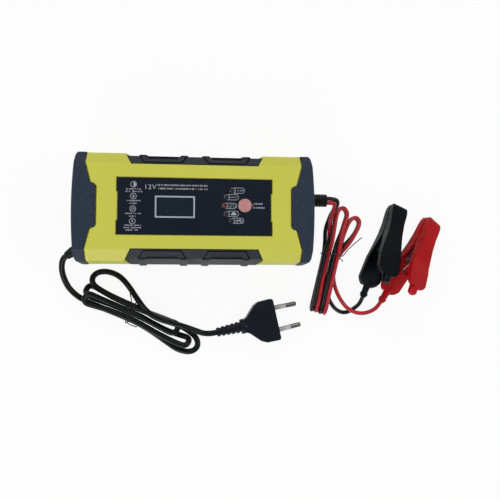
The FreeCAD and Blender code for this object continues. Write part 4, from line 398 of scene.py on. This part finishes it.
# Feet and cap screws
# Four soft rubber feet are stuck in their seats below, and self-tapping screws hold each end cap.
foot_rubber = Finish("foot_rubber", (0.012, 0.013, 0.015), 0.7)
foot_rubber.relief(foot_rubber.noise(0.5 * MM), 0.05 * MM)
dress(foot_rubber, "rubber_feet")
plated_steel = Finish("plated_steel", (0.42, 0.42, 0.43), 0.32, metallic=1.0)
plated_steel.give(roughness=0.26 + 0.2 * plated_steel.noise(1.2 * MM))
plated_steel.relief(plated_steel.noise(0.3 * MM), 0.01 * MM)
dress(plated_steel, "cap_screws", "board_screws", "fan_screws")


# Front panel film
# A dark printed film, stuck in a shallow recess of the top cover, with openings for the window, the lamps
# and the button.
film_dark = Finish("film_dark", (0.002, 0.0055, 0.014), 0.32, specular_ior_level=0.25)
film_dark.give(roughness=0.30 + 0.12 * film_dark.noise(12 * MM, 3.0))
film_dark.relief(film_dark.noise(0.25 * MM), 0.008 * MM)
dress(film_dark, "panel_overlay")


# Display window and lamps
# A smoked acrylic window lies in the film over the display, and five smoked lenses stand on an arc beside
# the button. The third one glows red at its lower left.
window_smoke = Finish("window_smoke", (0.006, 0.013, 0.023), 0.12, specular_ior_level=0.3)
window_smoke.give(base_color=window_smoke.mixed(window_smoke.noise(18 * MM), (0.005, 0.011, 0.020),
                                                (0.008, 0.016, 0.027)))
dress(window_smoke, "display_window")
lens_smoke = Finish("lens_smoke", (0.010, 0.012, 0.018), 0.15, coat_weight=0.5)


def reach_from(finish, x, y):
    """The distance from an upright line through that point of the panel."""
    place_x = finish.node("ShaderNodeSeparateXYZ", {}, {"Vector": finish.place}, "X")
    place_y = Reading(finish.tree, place_x.socket.node.outputs["Y"])
    across = place_x - x
    along = place_y - y
    square = across * across + along * along
    return square.worked("SQRT", square)


LIT_LENS = (22.7 * MM, 0.9 * MM)
DARK_SIDE = (23.4 * MM, 1.8 * MM)
within_lens = 1.0 - lens_smoke.ramp(reach_from(lens_smoke, *LIT_LENS), 1.5 * MM, 1.8 * MM)
lower_left = lens_smoke.ramp(reach_from(lens_smoke, *DARK_SIDE), 1.0 * MM, 1.7 * MM)
glow = within_lens * lower_left
lens_smoke.give(base_color=lens_smoke.mixed(glow, (0.010, 0.012, 0.018), (0.42, 0.03, 0.035)))
dress(lens_smoke, "indicator_lenses")


# Mode button
# A round translucent silicone button, pinkish red, that dips 0.8 mm onto the switch below it.
BUTTON_CENTRE = (38.3 * MM, 1.6 * MM)
button_silicone = Finish("button_silicone", (0.50, 0.21, 0.20), 0.45, subsurface_weight=0.15,
                         subsurface_scale=0.002)
marbling = button_silicone.noise(2.5 * MM, 3.0)
rim = button_silicone.ramp(reach_from(button_silicone, *BUTTON_CENTRE), 4.6 * MM, 5.1 * MM)
face = button_silicone.mixed(marbling, (0.45, 0.19, 0.18), (0.56, 0.26, 0.25))
button_silicone.give(base_color=button_silicone.mixed(rim * 0.55, face, (0.42, 0.26, 0.26)))
button_silicone.relief(button_silicone.noise(0.5 * MM), 0.02 * MM)
dress(button_silicone, "mode_button")


# Print on the film
# Pale screen print: the frame of the window, a ring for each lamp and its pill, four round signs down the
# left side with lines of small lettering, and a pointer at the button.
PRINT_LOW = 49.99
PRINT_TOP = 50.03
print_pale = Finish("print_pale", (0.36, 0.39, 0.44), 0.55)
print_pale.give(base_color=print_pale.mixed(print_pale.noise(0.8 * MM), (0.29, 0.31, 0.36),
                                            (0.43, 0.46, 0.52)))


class Print:
    """A flat print: outlines are added to it in millimetres, and it becomes one thin piece."""

    def __init__(self, name):
        self.name = name
        self.build = bmesh.new()

    def shape(self, outline):
        """A filled outline."""
        corners = [self.build.verts.new(Vector((x, y, PRINT_TOP)) * MM) for x, y in outline]
        self.build.faces.new(corners)

    def border(self, outer, inner):
        """The band between two outlines of as many points."""
        rows = [[self.build.verts.new(Vector((x, y, PRINT_TOP)) * MM) for x, y in line]
                for line in (outer, inner)]
        count = len(outer)
        for i in range(count):
            j = (i + 1) % count
            self.build.faces.new((rows[0][i], rows[0][j], rows[1][j], rows[1][i]))

    def finished(self):
        """The piece, given its small thickness."""
        bmesh.ops.recalc_face_normals(self.build, faces=self.build.faces)
        for one in self.build.faces:
            if one.normal.z < 0:
                one.normal_flip()
        mesh = bpy.data.meshes.new(self.name)
        self.build.to_mesh(mesh)
        self.build.free()
        mesh.materials.append(print_pale.material)
        piece = bpy.data.objects.new(self.name, mesh)
        bpy.context.scene.collection.objects.link(piece)
        depth = piece.modifiers.new("ink", "SOLIDIFY")
        depth.thickness = (PRINT_TOP - PRINT_LOW) * MM
        depth.offset = -1.0
        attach(piece, "housing")
        return piece


def disc(x, y, radius, start=0.0, end=360.0, count=32):
    """Points of a circle or, with two angles, of an arc."""
    whole = end - start >= 360.0
    steps = count if whole else count - 1
    angles = [math.radians(start + (end - start) * i / steps) for i in range(count)]
    return [(x + radius * math.cos(angle), y + radius * math.sin(angle)) for angle in angles]


def pill(x, y, length, height):
    """A rounded bar that reaches from x to the right."""
    radius = height / 2
    left = disc(x + radius, y, radius, 90.0, 270.0, 16)
    right = disc(x + length - radius, y, radius, -90.0, 90.0, 16)
    return left + right


def oblong(low_x, low_y, high_x, high_y):
    return [(low_x, low_y), (high_x, low_y), (high_x, high_y), (low_x, high_y)]


window_outside = oblong(-30.5, -8.75, -0.15, 8.05)
window_inside = oblong(-29.35, -7.6, -1.3, 6.9)
window_frame = Print("window_frame")
window_frame.border(window_outside, window_inside)
window_frame.finished()

LAMPS = [(28.9, 13.0), (24.4, 7.8), (22.8, 1.1), (24.4, -5.0), (28.5, -10.4)]
PILL_START = 2.35
PILL_LENGTH = 11.5
PILL_HEIGHT = 4.5
PILL_LINE = 0.35
RING_RADIUS = 2.25
RING_LINE = 0.3
lamp_print = Print("lamp_print")
for x, y in LAMPS:
    lamp_print.border(pill(x - PILL_START, y, PILL_LENGTH, PILL_HEIGHT),
                      pill(x - PILL_START + PILL_LINE, y, PILL_LENGTH - 2 * PILL_LINE,
                           PILL_HEIGHT - 2 * PILL_LINE))
    lamp_print.border(disc(x, y, RING_RADIUS), disc(x, y, RING_RADIUS - RING_LINE))
car_x, car_y = 29.6, -5.0
lamp_print.shape([(car_x - 1.9, car_y - 1.1), (car_x + 1.9, car_y - 1.1), (car_x + 1.9, car_y + 0.1),
                  (car_x + 1.3, car_y + 0.3), (car_x + 0.9, car_y + 1.2), (car_x - 0.9, car_y + 1.2),
                  (car_x - 1.3, car_y + 0.3), (car_x - 1.9, car_y + 0.1)])
bike_x, bike_y = 33.8, -10.4
for wheel in (-1.7, 1.7):
    lamp_print.border(disc(bike_x + wheel, bike_y - 0.5, 0.95, count=20),
                      disc(bike_x + wheel, bike_y - 0.5, 0.6, count=20))
lamp_print.shape([(bike_x - 1.9, bike_y + 0.2), (bike_x + 0.4, bike_y - 0.4), (bike_x + 1.5, bike_y + 1.3),
                  (bike_x + 0.9, bike_y + 1.4), (bike_x + 0.2, bike_y + 0.5), (bike_x - 1.7, bike_y + 0.9)])
lamp_print.finished()

SIGNS = [(-46.6, 16.5), (-46.7, 7.5), (-47.0, -2.2), (-47.3, -11.6)]
SIGN_RADIUS = 2.4
SIGN_LINE = 0.4
signs = Print("panel_signs")
for x, y in SIGNS:
    signs.border(disc(x, y, SIGN_RADIUS), disc(x, y, SIGN_RADIUS - SIGN_LINE))
half_x, half_y = SIGNS[0]
signs.shape(disc(half_x, half_y, 1.7, -90.0, 90.0, 20))
drop_x, drop_y = SIGNS[1]
signs.shape([(drop_x, drop_y + 1.4), (drop_x - 0.5, drop_y + 0.2)]
            + disc(drop_x, drop_y - 0.4, 0.7, 170.0, 370.0, 16) + [(drop_x + 0.5, drop_y + 0.2)])
dial_x, dial_y = SIGNS[2]
signs.border(disc(dial_x, dial_y - 0.3, 1.3, -20.0, 200.0, 20) + [(dial_x, dial_y - 0.75)],
             disc(dial_x, dial_y - 0.3, 0.95, -20.0, 200.0, 20) + [(dial_x, dial_y - 0.6)])
signs.shape([(dial_x - 0.2, dial_y - 0.6), (dial_x + 0.2, dial_y - 0.5), (dial_x + 0.7, dial_y + 0.5)])
bolt_x, bolt_y = SIGNS[3]
signs.shape([(bolt_x + 0.4, bolt_y + 1.5), (bolt_x - 0.9, bolt_y - 0.2), (bolt_x - 0.1, bolt_y - 0.1),
             (bolt_x - 0.4, bolt_y - 1.5), (bolt_x + 0.9, bolt_y + 0.2), (bolt_x + 0.1, bolt_y + 0.1)])
signs.shape([(43.5, 1.6), (44.6, 2.15), (44.3, 1.6), (44.6, 1.05)])
signs.finished()

# The voltage stands above and to the left of the window in plain figures
VOLTAGE_LEFT = -37.7 * MM
VOLTAGE_FOOT = 13.0 * MM
VOLTAGE_WIDTH = 8.2 * MM
VOLTAGE_SIZE = 5.2 * MM
voltage_text = bpy.data.curves.new("voltage_text", "FONT")
voltage_text.body = "12V"
voltage_text.size = VOLTAGE_SIZE
voltage_text.space_character = 1.15
voltage_text.extrude = (PRINT_TOP - PRINT_LOW) / 2 * MM
text_object = bpy.data.objects.new("voltage_text", voltage_text)
bpy.context.scene.collection.objects.link(text_object)
bpy.context.view_layer.update()
voltage_mesh = bpy.data.meshes.new_from_object(text_object)
bpy.data.objects.remove(text_object)
low_x = min(vertex.co.x for vertex in voltage_mesh.vertices)
high_x = max(vertex.co.x for vertex in voltage_mesh.vertices)
for vertex in voltage_mesh.vertices:
    vertex.co.x = VOLTAGE_LEFT + (vertex.co.x - low_x) * VOLTAGE_WIDTH / (high_x - low_x)
    vertex.co.y += VOLTAGE_FOOT
    vertex.co.z += (PRINT_TOP + PRINT_LOW) / 2 * MM
voltage_mesh.materials.clear()
voltage_mesh.materials.append(print_pale.material)
voltage = bpy.data.objects.new("voltage_mark", voltage_mesh)
bpy.context.scene.collection.objects.link(voltage)
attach(voltage, "housing")

# Lines of small lettering are only rows of upright strokes, set along edges by a node tree. Each line: where
# it starts and ends, its place up the panel, and how tall its strokes are.
LETTER_LINES = [
    (-28.3, 9.2, 16.25, 1.5), (-28.0, 9.0, 13.6, 1.5),
    (-52.0, -41.4, 12.9, 1.15), (-52.4, -40.4, 11.0, 1.15), (-51.9, -41.6, 4.0, 1.15),
    (-49.4, -44.2, 1.9, 1.15), (-52.6, -41.2, -5.8, 1.15), (-49.6, -44.8, -7.9, 1.15),
    (-53.0, -41.0, -14.8, 1.15), (-53.6, -40.4, -16.6, 1.15), (-51.8, -42.6, -18.4, 1.15),
    (45.2, 52.4, 2.9, 1.5), (45.0, 53.4, -0.1, 1.5),
    (32.0, 36.8, 13.0, 0.9), (27.4, 32.6, 7.8, 0.9), (25.8, 31.2, 1.9, 0.8), (25.8, 31.2, 0.3, 0.8)]
SHORTEST_STROKE = 0.55
STROKES_KEPT = 0.84

# A random value's sockets, by their numbers: the least and the greatest, and the outputs for a plain number
# and for a choice
RANDOM_LOW = 2
RANDOM_HIGH = 3
RANDOM_NUMBER = 1
RANDOM_CHOICE = 3


def lettering_tree():
    """Places an upright stroke at even steps along each edge, of uneven height, with word gaps."""
    tree = bpy.data.node_groups.new("lettering", "GeometryNodeTree")
    for name, kind in (("Lines", "NodeSocketGeometry"), ("Stroke Step", "NodeSocketFloat"),
                       ("Stroke Width", "NodeSocketFloat"), ("Ink Depth", "NodeSocketFloat"),
                       ("Seed", "NodeSocketInt"), ("Ink", "NodeSocketMaterial")):
        tree.interface.new_socket(name, in_out="INPUT", socket_type=kind)
    tree.interface.new_socket("Lettering", in_out="OUTPUT", socket_type="NodeSocketGeometry")

    def add(kind, **settings):
        node = tree.nodes.new(kind)
        for key, value in settings.items():
            setattr(node, key, value)
        return node

    def link(source, output, target, entry):
        tree.links.new(source.outputs[output], target.inputs[entry])

    given = add("NodeGroupInput")
    curve = add("GeometryNodeMeshToCurve")
    steps = add("GeometryNodeResampleCurve", mode="LENGTH")
    link(given, "Lines", curve, "Mesh")
    link(curve, "Curve", steps, "Curve")
    link(given, "Stroke Step", steps, "Length")
    height = add("GeometryNodeInputNamedAttribute", data_type="FLOAT")
    height.inputs["Name"].default_value = "height"
    uneven = add("FunctionNodeRandomValue", data_type="FLOAT")
    uneven.inputs[RANDOM_LOW].default_value = SHORTEST_STROKE
    uneven.inputs[RANDOM_HIGH].default_value = 1.0
    link(given, "Seed", uneven, "Seed")
    tall = add("ShaderNodeMath", operation="MULTIPLY")
    link(height, 0, tall, 0)
    link(uneven, RANDOM_NUMBER, tall, 1)
    size = add("ShaderNodeCombineXYZ")
    link(given, "Stroke Width", size, "X")
    link(tall, 0, size, "Y")
    link(given, "Ink Depth", size, "Z")
    kept = add("FunctionNodeRandomValue", data_type="BOOLEAN")
    kept.inputs["Probability"].default_value = STROKES_KEPT
    link(given, "Seed", kept, "Seed")
    stroke = add("GeometryNodeMeshCube")
    stroke.inputs["Size"].default_value = (1.0, 1.0, 1.0)
    places = add("GeometryNodeInstanceOnPoints")
    link(steps, "Curve", places, "Points")
    link(kept, RANDOM_CHOICE, places, "Selection")
    link(stroke, "Mesh", places, "Instance")
    link(size, 0, places, "Scale")
    real = add("GeometryNodeRealizeInstances")
    link(places, "Instances", real, "Geometry")
    inked = add("GeometryNodeSetMaterial")
    link(real, "Geometry", inked, "Geometry")
    link(given, "Ink", inked, "Material")
    result = add("NodeGroupOutput")
    link(inked, "Geometry", result, "Lettering")
    return tree


def grown(name, base, tree, given):
    """The plain mesh that a node tree makes of a base mesh, with its inputs set by their names."""
    holder = bpy.data.objects.new(name + "_base", base)
    bpy.context.scene.collection.objects.link(holder)
    grower = holder.modifiers.new("grow", "NODES")
    grower.node_group = tree
    for item in tree.interface.items_tree:
        if item.in_out == "INPUT" and item.name in given:
            grower[item.identifier] = given[item.name]
    bpy.context.view_layer.update()
    evaluated = holder.evaluated_get(bpy.context.evaluated_depsgraph_get())
    mesh = bpy.data.meshes.new_from_object(evaluated)
    bpy.data.objects.remove(holder)
    mesh.name = name
    piece = bpy.data.objects.new(name, mesh)
    bpy.context.scene.collection.objects.link(piece)
    return piece


letter_base = bpy.data.meshes.new("lettering_lines")
ends = []
for low, high, y, _ in LETTER_LINES:
    ends += [Vector((low, y, (PRINT_LOW + PRINT_TOP) / 2)) * MM,
             Vector((high, y, (PRINT_LOW + PRINT_TOP) / 2)) * MM]
letter_base.from_pydata(ends, [(2 * i, 2 * i + 1) for i in range(len(LETTER_LINES))], [])
letter_height = letter_base.attributes.new("height", "FLOAT", "POINT")
letter_height.data.foreach_set("value", [line[3] * MM for line in LETTER_LINES for _ in (0, 1)])
lettering = grown("panel_lettering", letter_base, lettering_tree(), {
    "Stroke Step": 0.62 * MM, "Stroke Width": 0.38 * MM, "Ink Depth": (PRINT_TOP - PRINT_LOW) * MM,
    "Seed": 4, "Ink": print_pale.material})
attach(lettering, "housing")


# Sleeves of the cords
# Ribbed black rubber sleeves grip the end walls and keep the cords from bending sharply where they leave.
sleeve_rubber = Finish("sleeve_rubber", (0.003, 0.0035, 0.0045), 0.42, specular_ior_level=0.25)
sleeve_rubber.give(roughness=0.36 + 0.2 * sleeve_rubber.noise(3 * MM))
sleeve_rubber.relief(sleeve_rubber.noise(0.4 * MM), 0.03 * MM)
for node in ("mains_gland", "dc_gland"):
    softened(node, 0.25 * MM, sleeve_rubber)


# Plug
# A flat two-pin plug moulded onto the lead in glossy blue-black PVC, with nickel-plated pins that lean
# together a little. A grey sleeve covers the half of each pin nearer the body.
plug_pvc = Finish("plug_pvc", (0.003, 0.005, 0.010), 0.36, specular_ior_level=0.2)
worn = plug_pvc.noise(8 * MM, 4.0)
plug_pvc.give(base_color=plug_pvc.mixed(worn, (0.002, 0.004, 0.008), (0.005, 0.008, 0.016)),
              roughness=0.30 + 0.2 * worn)
plug_pvc.relief(plug_pvc.noise(0.8 * MM), 0.02 * MM)
plug_moulding = softened("plug_body", 0.4 * MM, plug_pvc)
pin_nickel = Finish("pin_nickel", (0.24, 0.24, 0.24), 0.22, metallic=1.0)
pin_nickel.give(roughness=0.16 + 0.2 * pin_nickel.noise(1.5 * MM))
dress(pin_nickel, "plug_pins")
pin_sleeve = Finish("pin_sleeve", (0.50, 0.50, 0.53), 0.5)
pin_sleeve.relief(pin_sleeve.noise(0.5 * MM), 0.02 * MM)
dress(pin_sleeve, "plug_pin_sleeves")


# Clamps
# Each spring clamp has two pressed steel jaws on one pin, a torsion spring between its handles, and glossy
# PVC grips over the steel. The lower grip runs on into the sleeve of its lead.
def grip_finish(name, dark, pale):
    """Dipped PVC: glossy, with flow marks and a skin of fine dimples."""
    finish = Finish(name, dark, 0.34, specular_ior_level=0.12)
    flow = finish.noise(11 * MM, 3.0)
    finish.give(base_color=finish.mixed(flow, dark, pale), roughness=0.28 + 0.2 * flow)
    finish.relief(finish.noise(1.0 * MM, 3.0), 0.03 * MM)
    return finish


clamp_finishes = {
    "black": grip_finish("clamp_black", (0.0015, 0.002, 0.003), (0.004, 0.0055, 0.008)),
    "red": grip_finish("clamp_red", (0.36, 0.004, 0.006), (0.50, 0.008, 0.011))}
for colour, lead, length in (("black", black_lead, 0.515), ("red", red_lead, 0.509)):
    clamp = colour + "_clamp_"
    dress(clamp_finishes[colour], clamp + "lower_grip", clamp + "upper_grip")
    pieces = [clamp + part for part in ("lower_grip", "upper_grip", "lower_jaw", "upper_jaw", "spring")]
jaw_steel = Finish("jaw_steel", (0.50, 0.50, 0.51), 0.34, metallic=1.0)
jaw_steel.give(roughness=0.26 + 0.26 * jaw_steel.noise(2.5 * MM, 3.0),
               base_color=jaw_steel.mixed(jaw_steel.noise(5 * MM), (0.42, 0.42, 0.43), (0.60, 0.60, 0.61)))
dress(jaw_steel, "clamp_pins", *(colour + "_clamp_" + part for colour in ("black", "red")
                                 for part in ("lower_jaw", "upper_jaw", "spring")))


# Boards and what stands on them
# Inside, a display board hangs below the panel and a main board stands on the floor, both green laminate,
# with the power supply's parts and a fan in the left end.
def plain_finish(name, colour, roughness, grain, depth, **fixed):
    """A moulded or wound part: its tone and its surface vary at one scale."""
    finish = Finish(name, colour, roughness, **fixed)
    blotch = finish.noise(grain * 4, 3.0)
    finish.give(base_color=finish.mixed(blotch, [0.8 * part for part in colour],
                                        [min(1.0, 1.2 * part) for part in colour]),
                roughness=roughness + 0.15 * blotch)
    finish.relief(finish.noise(grain), depth)
    return finish


for names, colour, roughness, grain, depth, fixed in (
        (("display_board", "main_board"), (0.02, 0.13, 0.05), 0.3, 0.6 * MM, 0.01 * MM, {}),
        (("transformer",), (0.08, 0.075, 0.06), 0.55, 0.8 * MM, 0.06 * MM, {}),
        (("heat_sink",), (0.62, 0.63, 0.65), 0.35, 0.4 * MM, 0.01 * MM, {"metallic": 1.0}),
        (("fuse", "fan_shaft"), (0.66, 0.66, 0.68), 0.2, 0.5 * MM, 0.005 * MM, {"metallic": 1.0}),
        (("power_transistors", "rectifier", "tact_switch", "switch_plunger"), (0.02, 0.02, 0.022), 0.5,
         0.4 * MM, 0.02 * MM, {}),
        (("primary_capacitor", "output_capacitors"), (0.03, 0.04, 0.11), 0.3, 1.0 * MM, 0.01 * MM, {}),
        (("choke",), (0.5, 0.21, 0.08), 0.35, 0.9 * MM, 0.2 * MM, {"metallic": 0.8}),
        (("lcd_module",), (0.04, 0.06, 0.06), 0.2, 1.5 * MM, 0.005 * MM, {}),
        (("indicator_leds",), (0.5, 0.08, 0.07), 0.25, 0.8 * MM, 0.005 * MM, {}),
        (("fan_frame", "fan_rotor"), (0.016, 0.016, 0.018), 0.45, 0.5 * MM, 0.03 * MM, {}),
        (("inner_leads",), (0.014, 0.014, 0.015), 0.4, 0.6 * MM, 0.01 * MM, {})):
    dress(plain_finish(names[0] + "_finish", colour, roughness, grain, depth, **fixed), *names)


# Floor and light
# A plain white floor that the camera sees almost as pure white, under soft light from all four sides.
FLOOR_HALF = 6.0
FLOOR_WHITE = (0.86, 0.86, 0.86)
FLOOR_GLOW = 0.92
floor_mesh = bpy.data.meshes.new("studio_floor")
floor_mesh.from_pydata([(-FLOOR_HALF, -FLOOR_HALF, 0.0), (FLOOR_HALF, -FLOOR_HALF, 0.0),
                        (FLOOR_HALF, FLOOR_HALF, 0.0), (-FLOOR_HALF, FLOOR_HALF, 0.0)], [], [(0, 1, 2, 3)])
floor = bpy.data.objects.new("studio_floor", floor_mesh)
bpy.context.scene.collection.objects.link(floor)
floor_white = Finish("floor_white", FLOOR_WHITE, 0.9)
seen = floor_white.node("ShaderNodeLightPath", output="Is Camera Ray")
glossy = floor_white.node("ShaderNodeLightPath", output="Is Glossy Ray")
plain = floor_white.node("ShaderNodeEmission", {}, {"Color": (1.0, 1.0, 1.0, 1.0), "Strength": 1.0})
matte = floor_white.node("ShaderNodeBsdfDiffuse", {}, {"Color": (*FLOOR_WHITE, 1.0)})
blend = floor_white.node("ShaderNodeMixShader", {}, {0: (seen + glossy) * FLOOR_GLOW, 1: matte, 2: plain})
floor_white.tree.links.new(blend.socket, floor_white.tree.nodes["Material Output"].inputs["Surface"])
floor_mesh.materials.append(floor_white.material)

world = bpy.data.worlds.new("studio")
world.use_nodes = True
world.node_tree.nodes["Background"].inputs["Color"].default_value = (1.0, 1.0, 1.0, 1.0)
world.node_tree.nodes["Background"].inputs["Strength"].default_value = 0.28
bpy.context.scene.world = world
bpy.context.scene.view_settings.view_transform = "Standard"


# Four square soft boxes stand around the charger and shine at its middle: where, how large and how strong
for side, place, size, power in (
        ("front", (-0.20, -0.90, 0.42), 0.5, 3.6), ("left", (-0.75, 0.05, 0.75), 0.6, 2.9),
        ("right", (0.78, -0.05, 0.75), 0.6, 2.9), ("rear", (0.05, 0.78, 0.75), 0.6, 3.5)):
    lamp = bpy.data.lights.new(side + "_soft_box", "AREA")
    lamp.size = size
    lamp.energy = power
    soft_box = bpy.data.objects.new(side + "_soft_box", lamp)
    soft_box.location = place
    soft_box.rotation_euler = (-Vector(place)).to_track_quat("-Z", "Y").to_euler()
    bpy.context.scene.collection.objects.link(soft_box)
